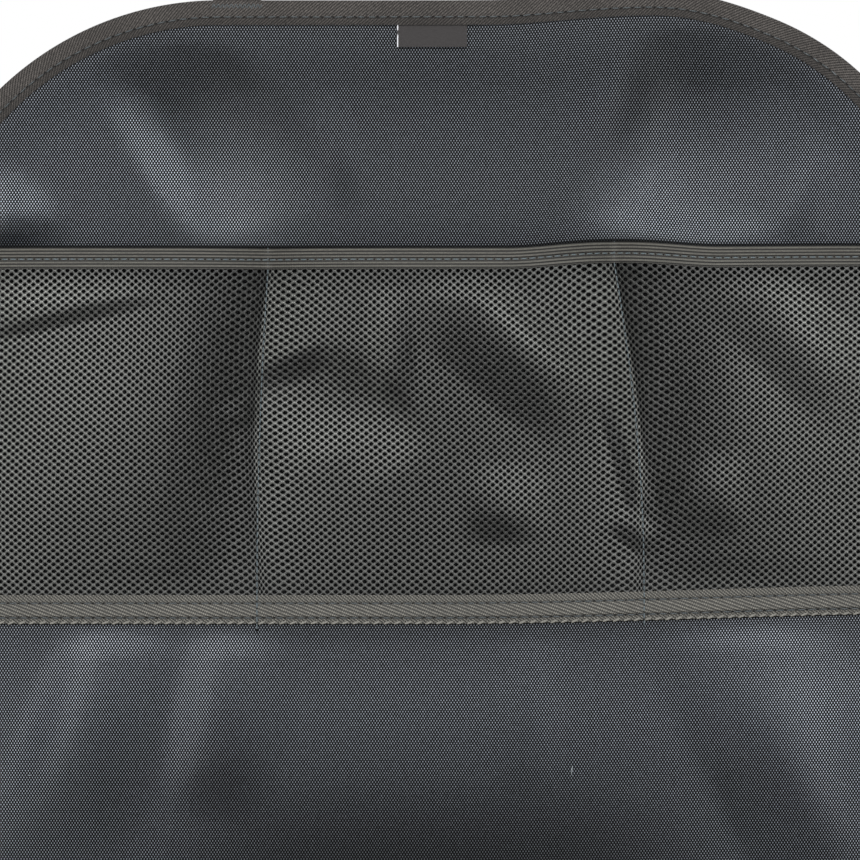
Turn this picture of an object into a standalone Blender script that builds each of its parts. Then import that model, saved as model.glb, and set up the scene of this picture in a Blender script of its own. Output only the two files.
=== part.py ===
"""Seat-back organizer: a woven panel that hangs by two loops and carries three mesh pockets.

The part hangs upright: X runs across it, -Y is its front and +Z is up. The origin lies
midway between the two hanging loops, under the crowns that carry the weight. All lengths
are in metres. Every sewn layer is first laid out flat, by its place across, its depth
below the top edge and its height off the panel's back, and is then draped.
"""

import math

import bmesh
import bpy

# Outline of the bound panel.
PANEL_WIDTH = 0.450
PANEL_HEIGHT = 0.600
SHOULDER_RADIUS = 0.134
FOOT_RADIUS = 0.040

# Cloth thicknesses, and the clearance that sewn layers keep between them.
PANEL_THICKNESS = 0.0008
MESH_THICKNESS = 0.0008
CLEARANCE = 0.0003

# Edge binding: a tape folded over the raw edge all round.
BINDING_WIDTH = 0.0106
BINDING_THICKNESS = 0.0006

# Pockets: one width of mesh between the hem tape and the base tape.
HEM_DEPTH = 0.1055
HEM_WIDTH = 0.0086
HEM_TAPE_THICKNESS = 0.0005
BASE_DEPTH = 0.2521
BASE_WIDTH = 0.0121
BASE_TAPE_THICKNESS = 0.0006
BASE_TURN = 0.0035
POCKET_SLACK = 0.014
MESH_TUCK = 0.0070
LAYER_INSET = 0.0010

# Divider seams, by their place across at the hem and at the base.
LEFT_DIVIDER_TOP = -0.0703
LEFT_DIVIDER_FOOT = -0.0750
RIGHT_DIVIDER_TOP = 0.0763
RIGHT_DIVIDER_FOOT = 0.0890

# Mesh wall: staggered six-sided gaps between strands.
GAPS_ACROSS = 6
GAP_ROWS = 7
GAP_SHARE = 0.60
STRAND_CROWN = 0.0005

# Hanging straps: webbing loops sewn behind the binding.
STRAP_SPACING = 0.167
STRAP_WIDTH = 0.0205
STRAP_THICKNESS = 0.0013
STRAP_TAIL = 0.0140
LOOP_START = 0.0030
LOOP_HEIGHT = 0.0500
LOOP_RADIUS = 0.0070

# Tag, folded at its left edge and caught under the binding.
TAG_LEFT = -0.0157
TAG_RIGHT = 0.0140
TAG_THICKNESS = 0.0003
TAG_TOP = 0.0040
TAG_FOOT = 0.0200
TAG_CURL = 0.0012

# Soft folds of the woven panel: place across, depth, lean from level in degrees, half length,
# half width above and below the fold's line, and height. A negative height is a valley.
FOLDS = (
    (-0.100, 0.056, -58.0, 0.060, 0.042, 0.028, -0.0042),
    (-0.184, 0.098, -35.0, 0.030, 0.022, 0.010, 0.0034),
    (0.110, 0.053, 64.0, 0.064, 0.032, 0.056, -0.0046),
    (0.158, 0.085, 66.0, 0.034, 0.010, 0.014, 0.0007),
    (-0.040, 0.062, -80.0, 0.030, 0.010, 0.012, 0.0005),
    (-0.150, 0.306, 68.0, 0.070, 0.024, 0.044, 0.0036),
    (-0.092, 0.298, 78.0, 0.052, 0.022, 0.034, 0.0026),
    (0.160, 0.340, -62.0, 0.105, 0.046, 0.038, 0.0054),
    (0.040, 0.300, 85.0, 0.040, 0.016, 0.016, 0.0006),
    (0.000, 0.328, 0.0, 0.330, 0.064, 0.075, 0.0030),
    (0.000, 0.050, 0.0, 0.330, 0.038, 0.050, -0.0012),
)
EDGE_FADE = 0.030
BAND_FADE = 0.024

# Pull of the sewing: the right half sits a little higher than the left.
RIGHT_RISE = 0.0045
HEM_DIP = 0.75
HEM_DIP_REACH = 0.090
PULLS = (
    (0.0850, 0.004, 0.060, 0.0026),
    (0.0763, 0.107, 0.045, 0.0026),
)

# Fineness of the facets.
PANEL_COLUMNS = 24
SHOULDER_STEPS = 10
FOOT_STEPS = 4
ROW_PITCH = 0.0215
LEG_STEPS = 6
CROWN_STEPS = 8
TAG_STEPS = 4
SEAT_RAMP = 0.0050
SEAT_MARGIN = 0.0025
SHARP_ANGLE = math.radians(40.0)

# Values that follow from the sizes above.
HALF_WIDTH = PANEL_WIDTH / 2
TOP_FLAT = HALF_WIDTH - SHOULDER_RADIUS
HEM_FOOT = HEM_DEPTH + HEM_WIDTH
BASE_FOOT = BASE_DEPTH + BASE_WIDTH
MESH_TOP = HEM_DEPTH + HEM_TAPE_THICKNESS + CLEARANCE
MESH_FOOT = BASE_DEPTH + MESH_TUCK
EDGE_OFFSET = BINDING_THICKNESS + CLEARANCE
MESH_SEAT = PANEL_THICKNESS + CLEARANCE
HEM_LIFT = HEM_TAPE_THICKNESS + CLEARANCE
HEM_STACK = MESH_SEAT + HEM_LIFT + MESH_THICKNESS + CLEARANCE + HEM_TAPE_THICKNESS
MESH_STACK = MESH_SEAT + MESH_THICKNESS
BASE_STACK = MESH_STACK + CLEARANCE + BASE_TAPE_THICKNESS
TAG_SEAT = PANEL_THICKNESS + CLEARANCE
TAG_STACK = TAG_SEAT + 2 * TAG_THICKNESS + CLEARANCE
LAYER_HALF = (STRAP_THICKNESS + CLEARANCE) / 2
STRAP_BACK = CLEARANCE + BINDING_THICKNESS + CLEARANCE + STRAP_THICKNESS + CLEARANCE / 2

# Material values: colour, roughness.
WOVEN = ((0.036, 0.038, 0.044), 0.55)
TWILL_BINDING = ((0.070, 0.062, 0.058), 0.80)
RIBBED_TAPE = ((0.105, 0.103, 0.092), 0.70)
TWILL_TAPE = ((0.112, 0.105, 0.090), 0.75)
KNITTED = ((0.085, 0.088, 0.078), 0.60)
WEBBING = ((0.066, 0.060, 0.056), 0.80)
SATIN_TAG = ((0.050, 0.042, 0.040), 0.60)


def smooth_step(value):
    """A smooth climb from nothing at zero to one at one."""
    value = min(max(value, 0.0), 1.0)
    return value * value * (3.0 - 2.0 * value)


def hump(value):
    """A smooth rise and fall: one at zero, nothing from one on."""
    return (1.0 - value * value) ** 2 if abs(value) < 1.0 else 0.0


def plateau(value, start, end):
    """One from start to end, with a straight ramp down on both sides."""
    outside = max(start - SEAT_MARGIN - value, value - end - SEAT_MARGIN, 0.0)
    return max(0.0, 1.0 - outside / SEAT_RAMP)


def edge_at(depth):
    """The outline's half width at a depth, and its outward normal on the right side."""
    if depth < SHOULDER_RADIUS:
        up = 1.0 - depth / SHOULDER_RADIUS
        out = math.sqrt(max(0.0, 1.0 - up * up))
        return TOP_FLAT + SHOULDER_RADIUS * out, (out, up)
    foot = PANEL_HEIGHT - FOOT_RADIUS
    if depth > foot:
        down = min(1.0, (depth - foot) / FOOT_RADIUS)
        out = math.sqrt(max(0.0, 1.0 - down * down))
        return HALF_WIDTH - FOOT_RADIUS * (1.0 - out), (out, -down)
    return HALF_WIDTH, (1.0, 0.0)


def relief(across, depth):
    """How far the woven panel's folds stand forward or sink back; nothing at the seams."""
    side = edge_at(depth)[0] - abs(across) - BINDING_WIDTH
    fade = smooth_step(side / EDGE_FADE)
    fade *= smooth_step((depth - BINDING_WIDTH) / EDGE_FADE)
    fade *= smooth_step((PANEL_HEIGHT - depth - BINDING_WIDTH) / EDGE_FADE)
    fade *= smooth_step(max(HEM_DEPTH - depth, depth - BASE_FOOT) / BAND_FADE)
    total = 0.0
    for fold_across, fold_depth, lean, half_length, above, below, height in FOLDS:
        turn = math.radians(lean)
        x = across - fold_across
        z = fold_depth - depth
        along = x * math.cos(turn) + z * math.sin(turn)
        beside = z * math.cos(turn) - x * math.sin(turn)
        half_width = above if beside > 0.0 else below
        total += height * hump(along / half_length) * hump(beside / half_width)
    return total * fade


def rise(across, depth):
    """How far the sewing pulls a point up from its flat place."""
    dip = 1.0 - HEM_DIP * hump((depth - HEM_DEPTH) / HEM_DIP_REACH)
    total = RIGHT_RISE * smooth_step(across / HALF_WIDTH) * dip
    for pull_across, pull_depth, reach, lift in PULLS:
        total += lift * hump(math.hypot(across - pull_across, depth - pull_depth) / reach)
    return total


def drape(across, depth, height):
    """The place of a point of the flat layout on the hanging part."""
    y = -height - relief(across, depth) - STRAP_BACK
    return (across, y, rise(across, depth) - depth - LOOP_HEIGHT)


def divider(top, foot, depth):
    """A divider seam's place across at a depth: it leans at the hem and drops straight."""
    share = min(max((BASE_DEPTH - depth) / (BASE_DEPTH - HEM_FOOT), 0.0), 1.0)
    return foot + (top - foot) * share * share


def pocket_edge():
    """How far out the pockets reach: clear of the binding where the outline is narrowest."""
    return edge_at(HEM_DEPTH)[0] - BINDING_WIDTH - 2 * LAYER_INSET


def pocket_bounds(depth):
    """The four seams that bound the three pockets at a depth, left to right."""
    left = divider(LEFT_DIVIDER_TOP, LEFT_DIVIDER_FOOT, depth)
    right = divider(RIGHT_DIVIDER_TOP, RIGHT_DIVIDER_FOOT, depth)
    return (-pocket_edge(), left, right, pocket_edge())


def bulge(across, depth):
    """How far the slack pocket front stands off its seat."""
    bounds = pocket_bounds(depth)
    share = (BASE_DEPTH - depth) / (BASE_DEPTH - HEM_FOOT)
    fullness = math.sin(min(max(share, 0.0), 1.0) * math.pi / 2)
    for start, end in zip(bounds, bounds[1:]):
        if start < across < end:
            offset = abs(2.0 * (across - start) / (end - start) - 1.0)
            return POCKET_SLACK * fullness * (1.0 - offset ** 3)
    return 0.0


def mesh_height(across, depth):
    """The height of the mesh's rear face, which steps up to clear the hem tape's rear leaf."""
    step = HEM_LIFT * smooth_step(1.0 - (depth - HEM_FOOT) / (3 * HEM_WIDTH))
    return MESH_SEAT + step + bulge(across, depth)


def pocket_columns(depth):
    """Places across for the pocket layers: half a gap apart, with an end at each side."""
    end = edge_at(depth)[0] - EDGE_OFFSET - LAYER_INSET
    bounds = pocket_bounds(depth)
    places = [-end]
    for start, stop in zip(bounds, bounds[1:]):
        step = (stop - start) / (2 * GAPS_ACROSS)
        places += [start + step * i for i in range(2 * GAPS_ACROSS)]
    return places + [bounds[-1], end]


def row_depths():
    """Depths of the panel's rows, on the outer outline."""
    shoulder = [
        SHOULDER_RADIUS * (1.0 - math.cos(math.pi / 2 * i / SHOULDER_STEPS))
        for i in range(SHOULDER_STEPS)
    ]
    foot_top = PANEL_HEIGHT - FOOT_RADIUS
    straight = foot_top - SHOULDER_RADIUS
    count = max(2, round(straight / ROW_PITCH))
    middle = [SHOULDER_RADIUS + straight * i / count for i in range(count)]
    foot = [
        foot_top + FOOT_RADIUS * math.sin(math.pi / 2 * i / FOOT_STEPS)
        for i in range(FOOT_STEPS + 1)
    ]
    return shoulder + middle + foot


def seat_depths():
    """Depths at which the binding steps over the ends of the pocket layers."""
    knees = []
    for start, end in ((HEM_DEPTH, HEM_FOOT), (BASE_DEPTH, BASE_FOOT)):
        knees += [start - SEAT_MARGIN - SEAT_RAMP, start - SEAT_MARGIN]
        knees += [end + SEAT_MARGIN, end + SEAT_MARGIN + SEAT_RAMP]
    return knees


def binding_seat(across, depth):
    """The height of what lies under the binding's front flange."""
    seat = PANEL_THICKNESS
    stacks = (
        (HEM_DEPTH, HEM_FOOT, HEM_STACK),
        (HEM_FOOT, BASE_DEPTH, MESH_STACK + HEM_LIFT),
        (BASE_DEPTH, BASE_FOOT, BASE_STACK),
    )
    for start, end, top in stacks:
        seat = max(seat, PANEL_THICKNESS + (top - PANEL_THICKNESS) * plateau(depth, start, end))
    if depth < BINDING_WIDTH:
        over_tag = plateau(across, TAG_LEFT, TAG_RIGHT)
        seat = max(seat, PANEL_THICKNESS + (TAG_STACK - PANEL_THICKNESS) * over_tag)
    return seat


def make_material(name, finish):
    """A plain material of one colour and roughness."""
    colour, roughness = finish
    material = bpy.data.materials.new(name)
    material.use_nodes = True
    shader = material.node_tree.nodes["Principled BSDF"]
    shader.inputs["Base Color"].default_value = (*colour, 1.0)
    shader.inputs["Roughness"].default_value = roughness
    shader.inputs["Metallic"].default_value = 0.0
    material.diffuse_color = (*colour, 1.0)
    return material


def make_mesh(name, points, faces, material):
    """A closed mesh with its faces turned outward and its folds kept sharp."""
    mesh = bpy.data.meshes.new(name)
    mesh.from_pydata(points, [], faces)
    work = bmesh.new()
    work.from_mesh(mesh)
    bmesh.ops.recalc_face_normals(work, faces=work.faces)
    work.to_mesh(mesh)
    work.free()
    mesh.shade_smooth()
    mesh.set_sharp_from_angle(angle=SHARP_ANGLE)
    mesh.materials.append(material)
    return mesh


def add_object(name, mesh, parent, place=(0.0, 0.0, 0.0)):
    """An object of a mesh, placed under the part's empty."""
    piece = bpy.data.objects.new(name, mesh)
    bpy.context.collection.objects.link(piece)
    piece.parent = parent
    piece.location = place
    return piece


def sweep(rings, closed):
    """Points and faces of a tube through rings of points, capped unless it is closed."""
    size = len(rings[0])
    count = len(rings)
    points = [point for ring in rings for point in ring]
    faces = []
    for i in range(count if closed else count - 1):
        here = i * size
        there = (i + 1) % count * size
        for j in range(size):
            k = (j + 1) % size
            faces.append((here + j, here + k, there + k, there + j))
    if not closed:
        faces.append(tuple(range(size)))
        faces.append(tuple(range((count - 1) * size, count * size)))
    return points, faces


def build_panel(parent):
    """The woven panel: one ply, cut to the outline inside the binding's fold."""
    layers = []
    for height in (0.0, PANEL_THICKNESS):
        grid = []
        for row in row_depths():
            half, (out, up) = edge_at(row)
            reach = half - EDGE_OFFSET * out
            depth = row + EDGE_OFFSET * up
            shares = [2.0 * i / PANEL_COLUMNS - 1.0 for i in range(PANEL_COLUMNS + 1)]
            grid.append([drape(reach * share, depth, height) for share in shares])
        layers.append(grid)
    columns = PANEL_COLUMNS + 1
    rows = len(layers[0])
    points = [point for grid in layers for line in grid for point in line]
    faces = []
    for layer in (0, rows * columns):
        for j in range(rows - 1):
            for i in range(PANEL_COLUMNS):
                a = layer + j * columns + i
                b = a + columns
                faces += [(a, a + 1, b + 1), (a, b + 1, b)]
    last = (rows - 1) * columns
    rim = [i for i in range(columns)]
    rim += [j * columns + PANEL_COLUMNS for j in range(1, rows)]
    rim += [last + i for i in range(PANEL_COLUMNS - 1, -1, -1)]
    rim += [j * columns for j in range(rows - 2, 0, -1)]
    for a, b in zip(rim, rim[1:] + rim[:1]):
        faces.append((a, b, b + rows * columns, a + rows * columns))
    material = make_material("woven_polyester", WOVEN)
    return add_object("main_panel", make_mesh("main_panel", points, faces, material), parent)


def binding_ring(across, depth, out, up):
    """The binding's folded section at one station of the outline."""
    front = binding_seat(across, depth) + CLEARANCE
    back = -CLEARANCE
    fold = BINDING_THICKNESS
    section = (
        (BINDING_WIDTH, front),
        (BINDING_WIDTH, front + fold),
        (fold, front + fold),
        (0.0, front),
        (0.0, back),
        (fold, back - fold),
        (BINDING_WIDTH, back - fold),
        (BINDING_WIDTH, back),
        (fold, back),
        (fold, front),
    )
    return [drape(across - q * out, depth + q * up, height) for q, height in section]


def build_binding(parent):
    """The edge binding: one folded tape round the whole outline."""
    right = []
    for depth in sorted(row_depths() + seat_depths()):
        half, (out, up) = edge_at(depth)
        right.append((half, depth, out, up))
    left = [(-across, depth, -out, up) for across, depth, out, up in reversed(right)]
    tag_knees = [TAG_LEFT - SEAT_MARGIN - SEAT_RAMP, TAG_LEFT - SEAT_MARGIN]
    tag_knees += [TAG_RIGHT + SEAT_MARGIN, TAG_RIGHT + SEAT_MARGIN + SEAT_RAMP]
    spread = [TOP_FLAT * share for share in (-0.75, -0.5, -0.25, 0.25, 0.5, 0.75)]
    spread = [place for place in spread if abs(place) > TAG_RIGHT + 2 * SEAT_RAMP]
    top = [(place, 0.0, 0.0, 1.0) for place in sorted(spread + tag_knees)]
    foot_flat = HALF_WIDTH - FOOT_RADIUS
    shares = [0.8, 0.6, 0.4, 0.2, 0.0, -0.2, -0.4, -0.6, -0.8]
    foot = [(foot_flat * share, PANEL_HEIGHT, 0.0, -1.0) for share in shares]
    rings = [binding_ring(*station) for station in right + foot + left + top]
    points, faces = sweep(rings, closed=True)
    material = make_material("twill_binding", TWILL_BINDING)
    return add_object("edge_binding", make_mesh("edge_binding", points, faces, material), parent)


def mesh_lines():
    """Depths of the mesh wall's lines: a plain strip, the rows of gaps, and a plain strip."""
    step = (BASE_DEPTH - HEM_FOOT) / GAP_ROWS
    return [MESH_TOP] + [HEM_FOOT + step * i for i in range(GAP_ROWS + 1)] + [MESH_FOOT]


def build_mesh(parent):
    """The pocket mesh: one wall with staggered gaps, slack in front of each pocket."""
    lines = mesh_lines()
    last_column = len(pocket_columns(lines[0])) - 1
    points = []
    faces = []

    def add_pair(across, depth, crown):
        """A point on the front face and the one behind it; gives the front one's number."""
        rear = mesh_height(across, depth)
        points.append(drape(across, depth, rear + MESH_THICKNESS + crown))
        points.append(drape(across, depth, rear))
        return len(points) - 2

    def add_both(loop):
        """A face on the front, and its mirror on the rear."""
        faces.append(tuple(loop))
        faces.append(tuple(i + 1 for i in reversed(loop)))

    def add_wall(a, b):
        """A face that joins the front to the rear along one edge."""
        faces.append((a, b, b + 1, a + 1))

    knots = []
    for j, depth in enumerate(lines):
        inner_line = 1 < j < len(lines) - 2
        row = []
        for i, across in enumerate(pocket_columns(depth)):
            on_strand = inner_line and 1 < i < last_column - 1
            row.append(add_pair(across, depth, STRAND_CROWN if on_strand else 0.0))
        knots.append(row)

    seams = {1 + 2 * GAPS_ACROSS, 1 + 4 * GAPS_ACROSS}
    for j in range(len(lines) - 1):
        top, foot = knots[j], knots[j + 1]
        if j in (0, len(lines) - 2):
            for i in range(last_column):
                add_both((top[i], foot[i], foot[i + 1], top[i + 1]))
            continue
        add_both((top[0], foot[0], foot[1], top[1]))
        add_both((top[-2], foot[-2], foot[-1], top[-1]))
        first = 1 + (j + 1) % 2
        if first == 2:
            add_both((top[1], foot[1], foot[2], top[2]))
            add_both((top[-3], foot[-3], foot[-2], top[-2]))
        middle_depth = (lines[j] + lines[j + 1]) / 2
        half_height = (lines[j + 1] - lines[j]) / 2
        places = pocket_columns(middle_depth)
        for i in range(first, last_column - 2, 2):
            outer = [top[i], top[i + 1], top[i + 2], foot[i + 2], foot[i + 1], foot[i]]
            if i + 1 in seams:
                add_both(outer[::-1])
                continue
            centre = places[i + 1]
            radius = GAP_SHARE * (places[i + 2] - places[i]) / math.sqrt(3.0)
            radius = min(radius, 0.92 * half_height)
            rim = []
            for turn in (150.0, 90.0, 30.0, -30.0, -90.0, -150.0):
                angle = math.radians(turn)
                across = centre + radius * math.cos(angle)
                rim.append(add_pair(across, middle_depth - radius * math.sin(angle), 0.0))
            for k in range(6):
                after = (k + 1) % 6
                add_both((outer[k], rim[k], rim[after], outer[after]))
                add_wall(rim[after], rim[k])
    for row in (knots[0], knots[-1]):
        for a, b in zip(row, row[1:]):
            add_wall(a, b)
    for side in (0, -1):
        for upper, lower in zip(knots, knots[1:]):
            add_wall(upper[side], lower[side])
    material = make_material("knitted_mesh", KNITTED)
    return add_object("pocket_mesh", make_mesh("pocket_mesh", points, faces, material), parent)


def build_hem_tape(parent):
    """The hem tape: folded over the mesh's top edge from side to side."""
    fold = HEM_TAPE_THICKNESS
    inside_rear = -CLEARANCE
    inside_front = MESH_THICKNESS + CLEARANCE
    section = (
        (HEM_FOOT, inside_front),
        (HEM_FOOT, inside_front + fold),
        (HEM_DEPTH + fold, inside_front + fold),
        (HEM_DEPTH, inside_front),
        (HEM_DEPTH, inside_rear),
        (HEM_DEPTH + fold, inside_rear - fold),
        (HEM_FOOT, inside_rear - fold),
        (HEM_FOOT, inside_rear),
        (HEM_DEPTH + fold, inside_rear),
        (HEM_DEPTH + fold, inside_front),
    )
    columns = {depth: pocket_columns(depth) for depth, _ in section}
    rings = []
    for i in range(len(columns[HEM_DEPTH])):
        ring = []
        for depth, height in section:
            across = columns[depth][i]
            ring.append(drape(across, depth, mesh_height(across, depth) + height))
        rings.append(ring)
    points, faces = sweep(rings, closed=False)
    material = make_material("ribbed_tape", RIBBED_TAPE)
    mesh = make_mesh("pocket_hem_tape", points, faces, material)
    return add_object("pocket_hem_tape", mesh, parent)


def build_base_tape(parent):
    """The base tape: flat over the mesh's lower edge, turned down onto the panel below it."""
    upper = MESH_STACK + CLEARANCE
    lower = MESH_SEAT
    turn = BASE_FOOT - BASE_TURN
    thick = BASE_TAPE_THICKNESS
    section = (
        (BASE_DEPTH, upper),
        (BASE_DEPTH, upper + thick),
        (turn, upper + thick),
        (BASE_FOOT, lower + thick),
        (BASE_FOOT, lower),
        (turn, upper),
    )
    columns = {depth: pocket_columns(depth) for depth, _ in section}
    rings = []
    for i in range(len(columns[BASE_DEPTH])):
        rings.append([drape(columns[depth][i], depth, height) for depth, height in section])
    points, faces = sweep(rings, closed=False)
    material = make_material("twill_tape", TWILL_TAPE)
    mesh = make_mesh("pocket_base_tape", points, faces, material)
    return add_object("pocket_base_tape", mesh, parent)


def loop_path():
    """The strap's centre line as (back, up) pairs, about the loop's middle plane."""
    crown_radius = LOOP_RADIUS + STRAP_THICKNESS / 2
    crown_centre = LOOP_HEIGHT - LOOP_RADIUS
    leg = [(LAYER_HALF, -STRAP_TAIL), (LAYER_HALF, 0.0)]
    for i in range(LEG_STEPS + 1):
        share = i / LEG_STEPS
        half = LAYER_HALF + (crown_radius - LAYER_HALF) * smooth_step(share)
        leg.append((half, LOOP_START + (crown_centre - LOOP_START) * share))
    crown = []
    for i in range(1, CROWN_STEPS):
        angle = math.pi * i / CROWN_STEPS
        crown.append((-crown_radius * math.cos(angle), crown_centre + crown_radius * math.sin(angle)))
    front = [(-half, height) for half, height in leg]
    return front + crown + leg[::-1]


def build_straps(parent):
    """The two hanging straps: one webbing loop, used twice."""
    path = loop_path()
    rings = []
    for i, (back, height) in enumerate(path):
        before = path[max(i - 1, 0)]
        after = path[min(i + 1, len(path) - 1)]
        run = math.hypot(after[0] - before[0], after[1] - before[1])
        normal = ((after[1] - before[1]) / run, (before[0] - after[0]) / run)
        ring = []
        for side, face in ((-1, -1), (1, -1), (1, 1), (-1, 1)):
            offset = face * STRAP_THICKNESS / 2
            y = back + normal[0] * offset
            z = height + normal[1] * offset - LOOP_HEIGHT
            ring.append((side * STRAP_WIDTH / 2, y, z))
        rings.append(ring)
    points, faces = sweep(rings, closed=False)
    mesh = make_mesh("hanging_strap", points, faces, make_material("webbing", WEBBING))
    for name, side in (("hanging_strap_left", -1), ("hanging_strap_right", 1)):
        across = side * STRAP_SPACING / 2
        add_object(name, mesh, parent, (across, 0.0, rise(across, 0.0)))


def build_tag(parent):
    """The tag: one strip folded at its left edge, its foot curling forward a little."""
    thick = TAG_THICKNESS
    slot = thick + CLEARANCE
    section = (
        (TAG_LEFT, 0.0),
        (TAG_RIGHT, 0.0),
        (TAG_RIGHT, thick),
        (TAG_LEFT + thick, thick),
        (TAG_LEFT + thick, slot),
        (TAG_RIGHT, slot),
        (TAG_RIGHT, slot + thick),
        (TAG_LEFT, slot + thick),
    )
    depths = [TAG_TOP, BINDING_WIDTH]
    visible = TAG_FOOT - BINDING_WIDTH
    depths += [BINDING_WIDTH + visible * i / TAG_STEPS for i in range(1, TAG_STEPS + 1)]
    rings = []
    for depth in depths:
        curl = TAG_CURL * max(0.0, (depth - BINDING_WIDTH) / visible) ** 2
        rings.append([drape(across, depth, TAG_SEAT + curl + height) for across, height in section])
    points, faces = sweep(rings, closed=False)
    material = make_material("satin_tag", SATIN_TAG)
    return add_object("label_tag", make_mesh("label_tag", points, faces, material), parent)


def main():
    """Clears the scene and builds the organizer under one empty."""
    for item in list(bpy.data.objects):
        bpy.data.objects.remove(item, do_unlink=True)
    organizer = bpy.data.objects.new("organizer", None)
    bpy.context.collection.objects.link(organizer)
    build_panel(organizer)
    build_binding(organizer)
    build_mesh(organizer)
    build_hem_tape(organizer)
    build_base_tape(organizer)
    build_straps(organizer)
    build_tag(organizer)


main()
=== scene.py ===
"""Dresses a hanging seat-back organizer: woven panel, bound edge and three mesh pockets.

Lengths are in metres. X runs across the part, -Y is its front and +Z is up. As in a sewing
pattern, every layer is first laid out flat, by its place across, its depth below the top
edge and its height off the panel's back, and is then draped onto the hanging part.
"""

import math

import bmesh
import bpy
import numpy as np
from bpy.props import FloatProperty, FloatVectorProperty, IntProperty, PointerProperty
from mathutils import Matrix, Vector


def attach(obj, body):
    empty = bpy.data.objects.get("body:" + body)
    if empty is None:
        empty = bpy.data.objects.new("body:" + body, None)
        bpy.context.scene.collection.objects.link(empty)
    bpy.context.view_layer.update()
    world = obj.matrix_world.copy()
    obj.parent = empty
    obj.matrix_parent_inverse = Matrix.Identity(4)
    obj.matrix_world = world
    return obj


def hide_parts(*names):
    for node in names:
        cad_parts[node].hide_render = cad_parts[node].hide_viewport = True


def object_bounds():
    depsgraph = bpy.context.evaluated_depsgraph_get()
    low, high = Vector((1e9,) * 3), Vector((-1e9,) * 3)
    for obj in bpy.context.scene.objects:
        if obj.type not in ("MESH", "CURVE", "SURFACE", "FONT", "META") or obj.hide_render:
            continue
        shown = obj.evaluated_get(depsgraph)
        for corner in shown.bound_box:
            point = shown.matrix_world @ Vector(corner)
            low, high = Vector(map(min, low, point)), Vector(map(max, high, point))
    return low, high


bl_info = {
    "name": "Seat-back organizer",
    "version": (1, 0, 0),
    "blender": (4, 5, 0),
    "location": "3D View > Sidebar > Organizer",
    "description": "Builds the cloth, net, tapes and sewing of a hanging organizer",
    "category": "Object",
}

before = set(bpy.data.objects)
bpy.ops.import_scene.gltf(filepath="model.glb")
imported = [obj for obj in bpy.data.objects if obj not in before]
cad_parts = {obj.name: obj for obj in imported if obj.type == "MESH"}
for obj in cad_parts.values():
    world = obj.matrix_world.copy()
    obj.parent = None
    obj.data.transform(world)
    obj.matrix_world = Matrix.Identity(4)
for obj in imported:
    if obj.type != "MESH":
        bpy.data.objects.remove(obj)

CAD_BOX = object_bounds()
BODY = "root"

# Outline of the bound panel.
PANEL_WIDTH = 0.450
PANEL_HEIGHT = 0.600
SHOULDER_RADIUS = 0.134
FOOT_RADIUS = 0.040

# Cloth thicknesses, and the clearance that sewn layers keep between them.
PANEL_THICKNESS = 0.0008
MESH_THICKNESS = 0.0008
CLEARANCE = 0.0003

# Edge binding, pocket tapes and the slack of the pockets.
BINDING_WIDTH = 0.0106
BINDING_THICKNESS = 0.0006
HEM_DEPTH = 0.1055
HEM_WIDTH = 0.0086
HEM_TAPE_THICKNESS = 0.0005
BASE_DEPTH = 0.2521
BASE_WIDTH = 0.0121
BASE_TAPE_THICKNESS = 0.0006
BASE_TURN = 0.0035
POCKET_SLACK = 0.014
MESH_TUCK = 0.0070
LAYER_INSET = 0.0010

# Divider seams, by their place across at the hem and at the base.
DIVIDERS = ((-0.0703, -0.0750), (0.0763, 0.0890))

# Hanging straps and tag.
STRAP_SPACING = 0.167
STRAP_WIDTH = 0.0205
STRAP_THICKNESS = 0.0013
STRAP_TAIL = 0.0140
LOOP_START = 0.0030
LOOP_HEIGHT = 0.0500
LOOP_RADIUS = 0.0070
TAG_LEFT = -0.0157
TAG_RIGHT = 0.0140
TAG_THICKNESS = 0.0003
TAG_TOP = 0.0040
TAG_FOOT = 0.0200
TAG_CURL = 0.0012

# Soft folds of the woven panel: place across, depth, lean from level in degrees, half length,
# half width above and below the fold's line, and height. A negative height is a valley.
FOLDS = (
    (-0.106, 0.060, -58.0, 0.060, 0.050, 0.024, -0.0046),
    (-0.184, 0.098, -35.0, 0.030, 0.028, 0.010, 0.0044),
    (0.103, 0.055, 68.0, 0.066, 0.034, 0.070, -0.0052),
    (0.158, 0.085, 66.0, 0.034, 0.010, 0.014, 0.0007),
    (-0.040, 0.062, -80.0, 0.030, 0.010, 0.012, 0.0005),
    (-0.150, 0.306, 68.0, 0.070, 0.024, 0.044, 0.0036),
    (-0.092, 0.298, 78.0, 0.052, 0.022, 0.034, 0.0026),
    (0.160, 0.340, -62.0, 0.105, 0.046, 0.038, 0.0054),
    (0.040, 0.300, 85.0, 0.040, 0.016, 0.016, 0.0006),
    (0.000, 0.328, 0.0, 0.330, 0.064, 0.075, 0.0042),
    (0.000, 0.050, 0.0, 0.330, 0.038, 0.050, -0.0012),
)

# How far from the binding, and from the tapes, folds and creases reach their full height.
EDGE_FADE = 0.030
BAND_FADE = 0.014

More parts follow.
